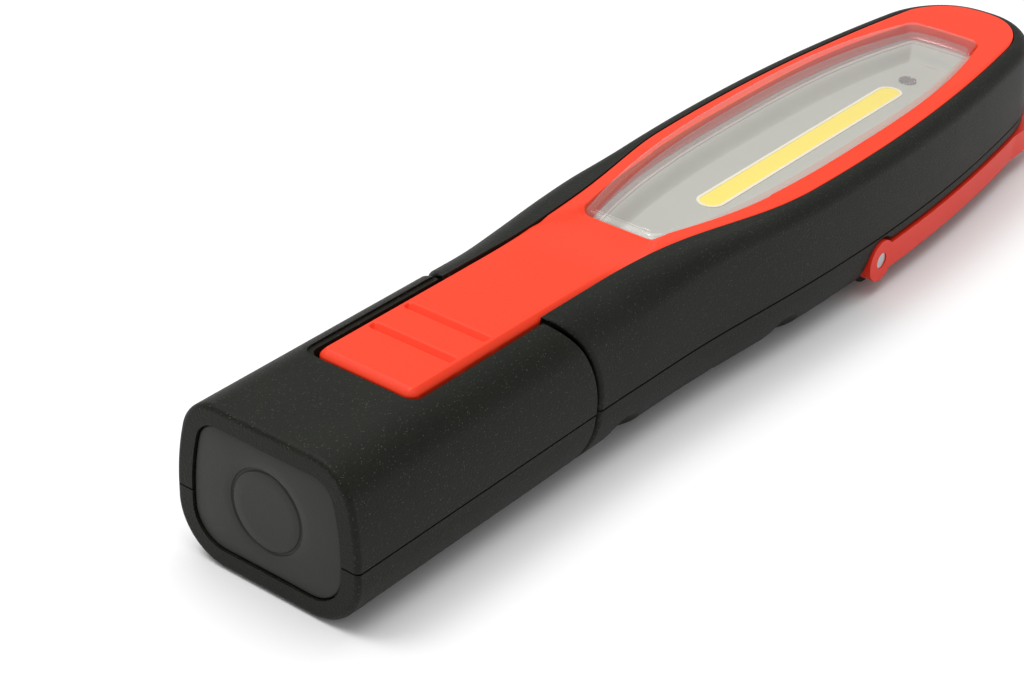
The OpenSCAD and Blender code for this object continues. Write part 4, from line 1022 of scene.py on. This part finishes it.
def hanging_bail():
    """Flat bar swept between two plan curves, with round eyes at its ends."""
    low = BAIL_Z - BAR_HIGH / 2
    high = low + BAR_HIGH
    outer = bail_curve(BAIL_GAP, BAIL_REACH)
    inner = bail_curve(BAIL_GAP - BAR_THICK, BAIL_INNER)
    corners = ((outer, low), (outer, high), (inner, high), (inner, low))
    G = np.stack([np.c_[p, np.full(len(p), z)] for p, z in corners], 1)
    G = np.concatenate([G * [1, -1, 1], G[-2::-1]], 0)
    n, m = G.shape[:2]
    f = []
    for a in range(0, (n - 1) * m, m):
        f += [(a + b, a + m + b, a + m + (b + 1) % m, a + (b + 1) % m) for b in range(m)]
    f += [tuple(range(m)), tuple(range((n - 1) * m, n * m))]
    ob = build("hanging_bail", (G, f), BAIL_RED, "bail", "bail")
    inside = float(head_width(BAIL_X)) + BAIL_GAP - BAR_THICK
    eyes = []
    bores = []
    for side in (-1, 1):
        eyes.append(tube_mesh((BAIL_X, side * inside, BAIL_Z), 1, EYE_RADIUS, side * BAR_THICK, 96))
        bores.append(tube_mesh((BAIL_X, side * 10, BAIL_Z), 1, PIN_RADIUS, side * 20, 48))
    cut(ob, eyes, "UNION")
    cut(ob, bores)
    smooth(ob)
    round_edges(ob, 0.45, 3, 38)
    weighted(ob)


hanging_bail()


# ------------------------------------------------------------------ floor, light, camera
def stage():
    """Pale matt floor just under the lamp."""
    bpy.ops.mesh.primitive_plane_add(size=6, location=(0, 0, -0.0002))
    floor = bpy.context.object
    floor.name = "floor"
    m, t, bs = new_material("floor_pale")
    n = t.nodes.new("ShaderNodeTexNoise")
    n.inputs["Scale"].default_value = 30.0
    grey = map_range(t, n.outputs[0], 0.86, 0.88)
    c = t.nodes.new("ShaderNodeCombineColor")
    for k in range(3):
        t.links.new(grey, c.inputs[k])
    t.links.new(c.outputs[0], bs.inputs["Base Color"])
    bs.inputs["Roughness"].default_value = 0.8
    floor.data.materials.append(m)


def white_world(level):
    """White surroundings of this brightness."""
    world = bpy.data.worlds.new("studio")
    bpy.context.scene.world = world
    world.use_nodes = True
    back = world.node_tree.nodes["Background"].inputs
    back[0].default_value = (1, 1, 1, 1)
    back[1].default_value = level


def area(name, place, size, power):
    """Square lamp that faces the middle of the part."""
    data = bpy.data.lights.new(name, "AREA")
    data.energy = power
    data.size = size
    ob = bpy.data.objects.new(name, data)
    bpy.context.scene.collection.objects.link(ob)
    ob.location = place
    ob.rotation_euler = (-Vector(place)).to_track_quat("-Z", "Y").to_euler()


def camera():
    """Camera at a place in lamp coordinates, given by its three directions."""
    focal, image_width, sensor = 2304.4, 1024, 36
    place = np.array([-204.98992975, -202.47452312, 204.71761438])
    right = Vector((0.621553740345103, -0.78272387226789, 0.03184788289623097))
    down = Vector((-0.3837499264252499, -0.33967133436050223, -0.8586963250080739))
    ahead = Vector((0.682939925492446, 0.521504289911134, -0.5114942167538719))
    cam = bpy.data.cameras.new("camera")
    cam.sensor_fit = "HORIZONTAL"
    cam.sensor_width = sensor
    cam.lens = focal / image_width * sensor
    cam.clip_start = 0.01
    ob = bpy.data.objects.new("camera", cam)
    bpy.context.scene.collection.objects.link(ob)
    turn = Matrix((right, -down, -ahead)).transposed().to_4x4()
    ob.matrix_world = Matrix.Translation(((place + OFFSET) / 1000).tolist()) @ turn
    bpy.context.scene.camera = ob


stage()
white_world(0.55)
area("key", (-0.05, 0.15, 1.1), 1.3, 11)
area("spark", (-0.35, 0.3, 0.9), 0.28, 2.2)
camera()
bpy.context.scene.view_settings.view_transform = "Standard"
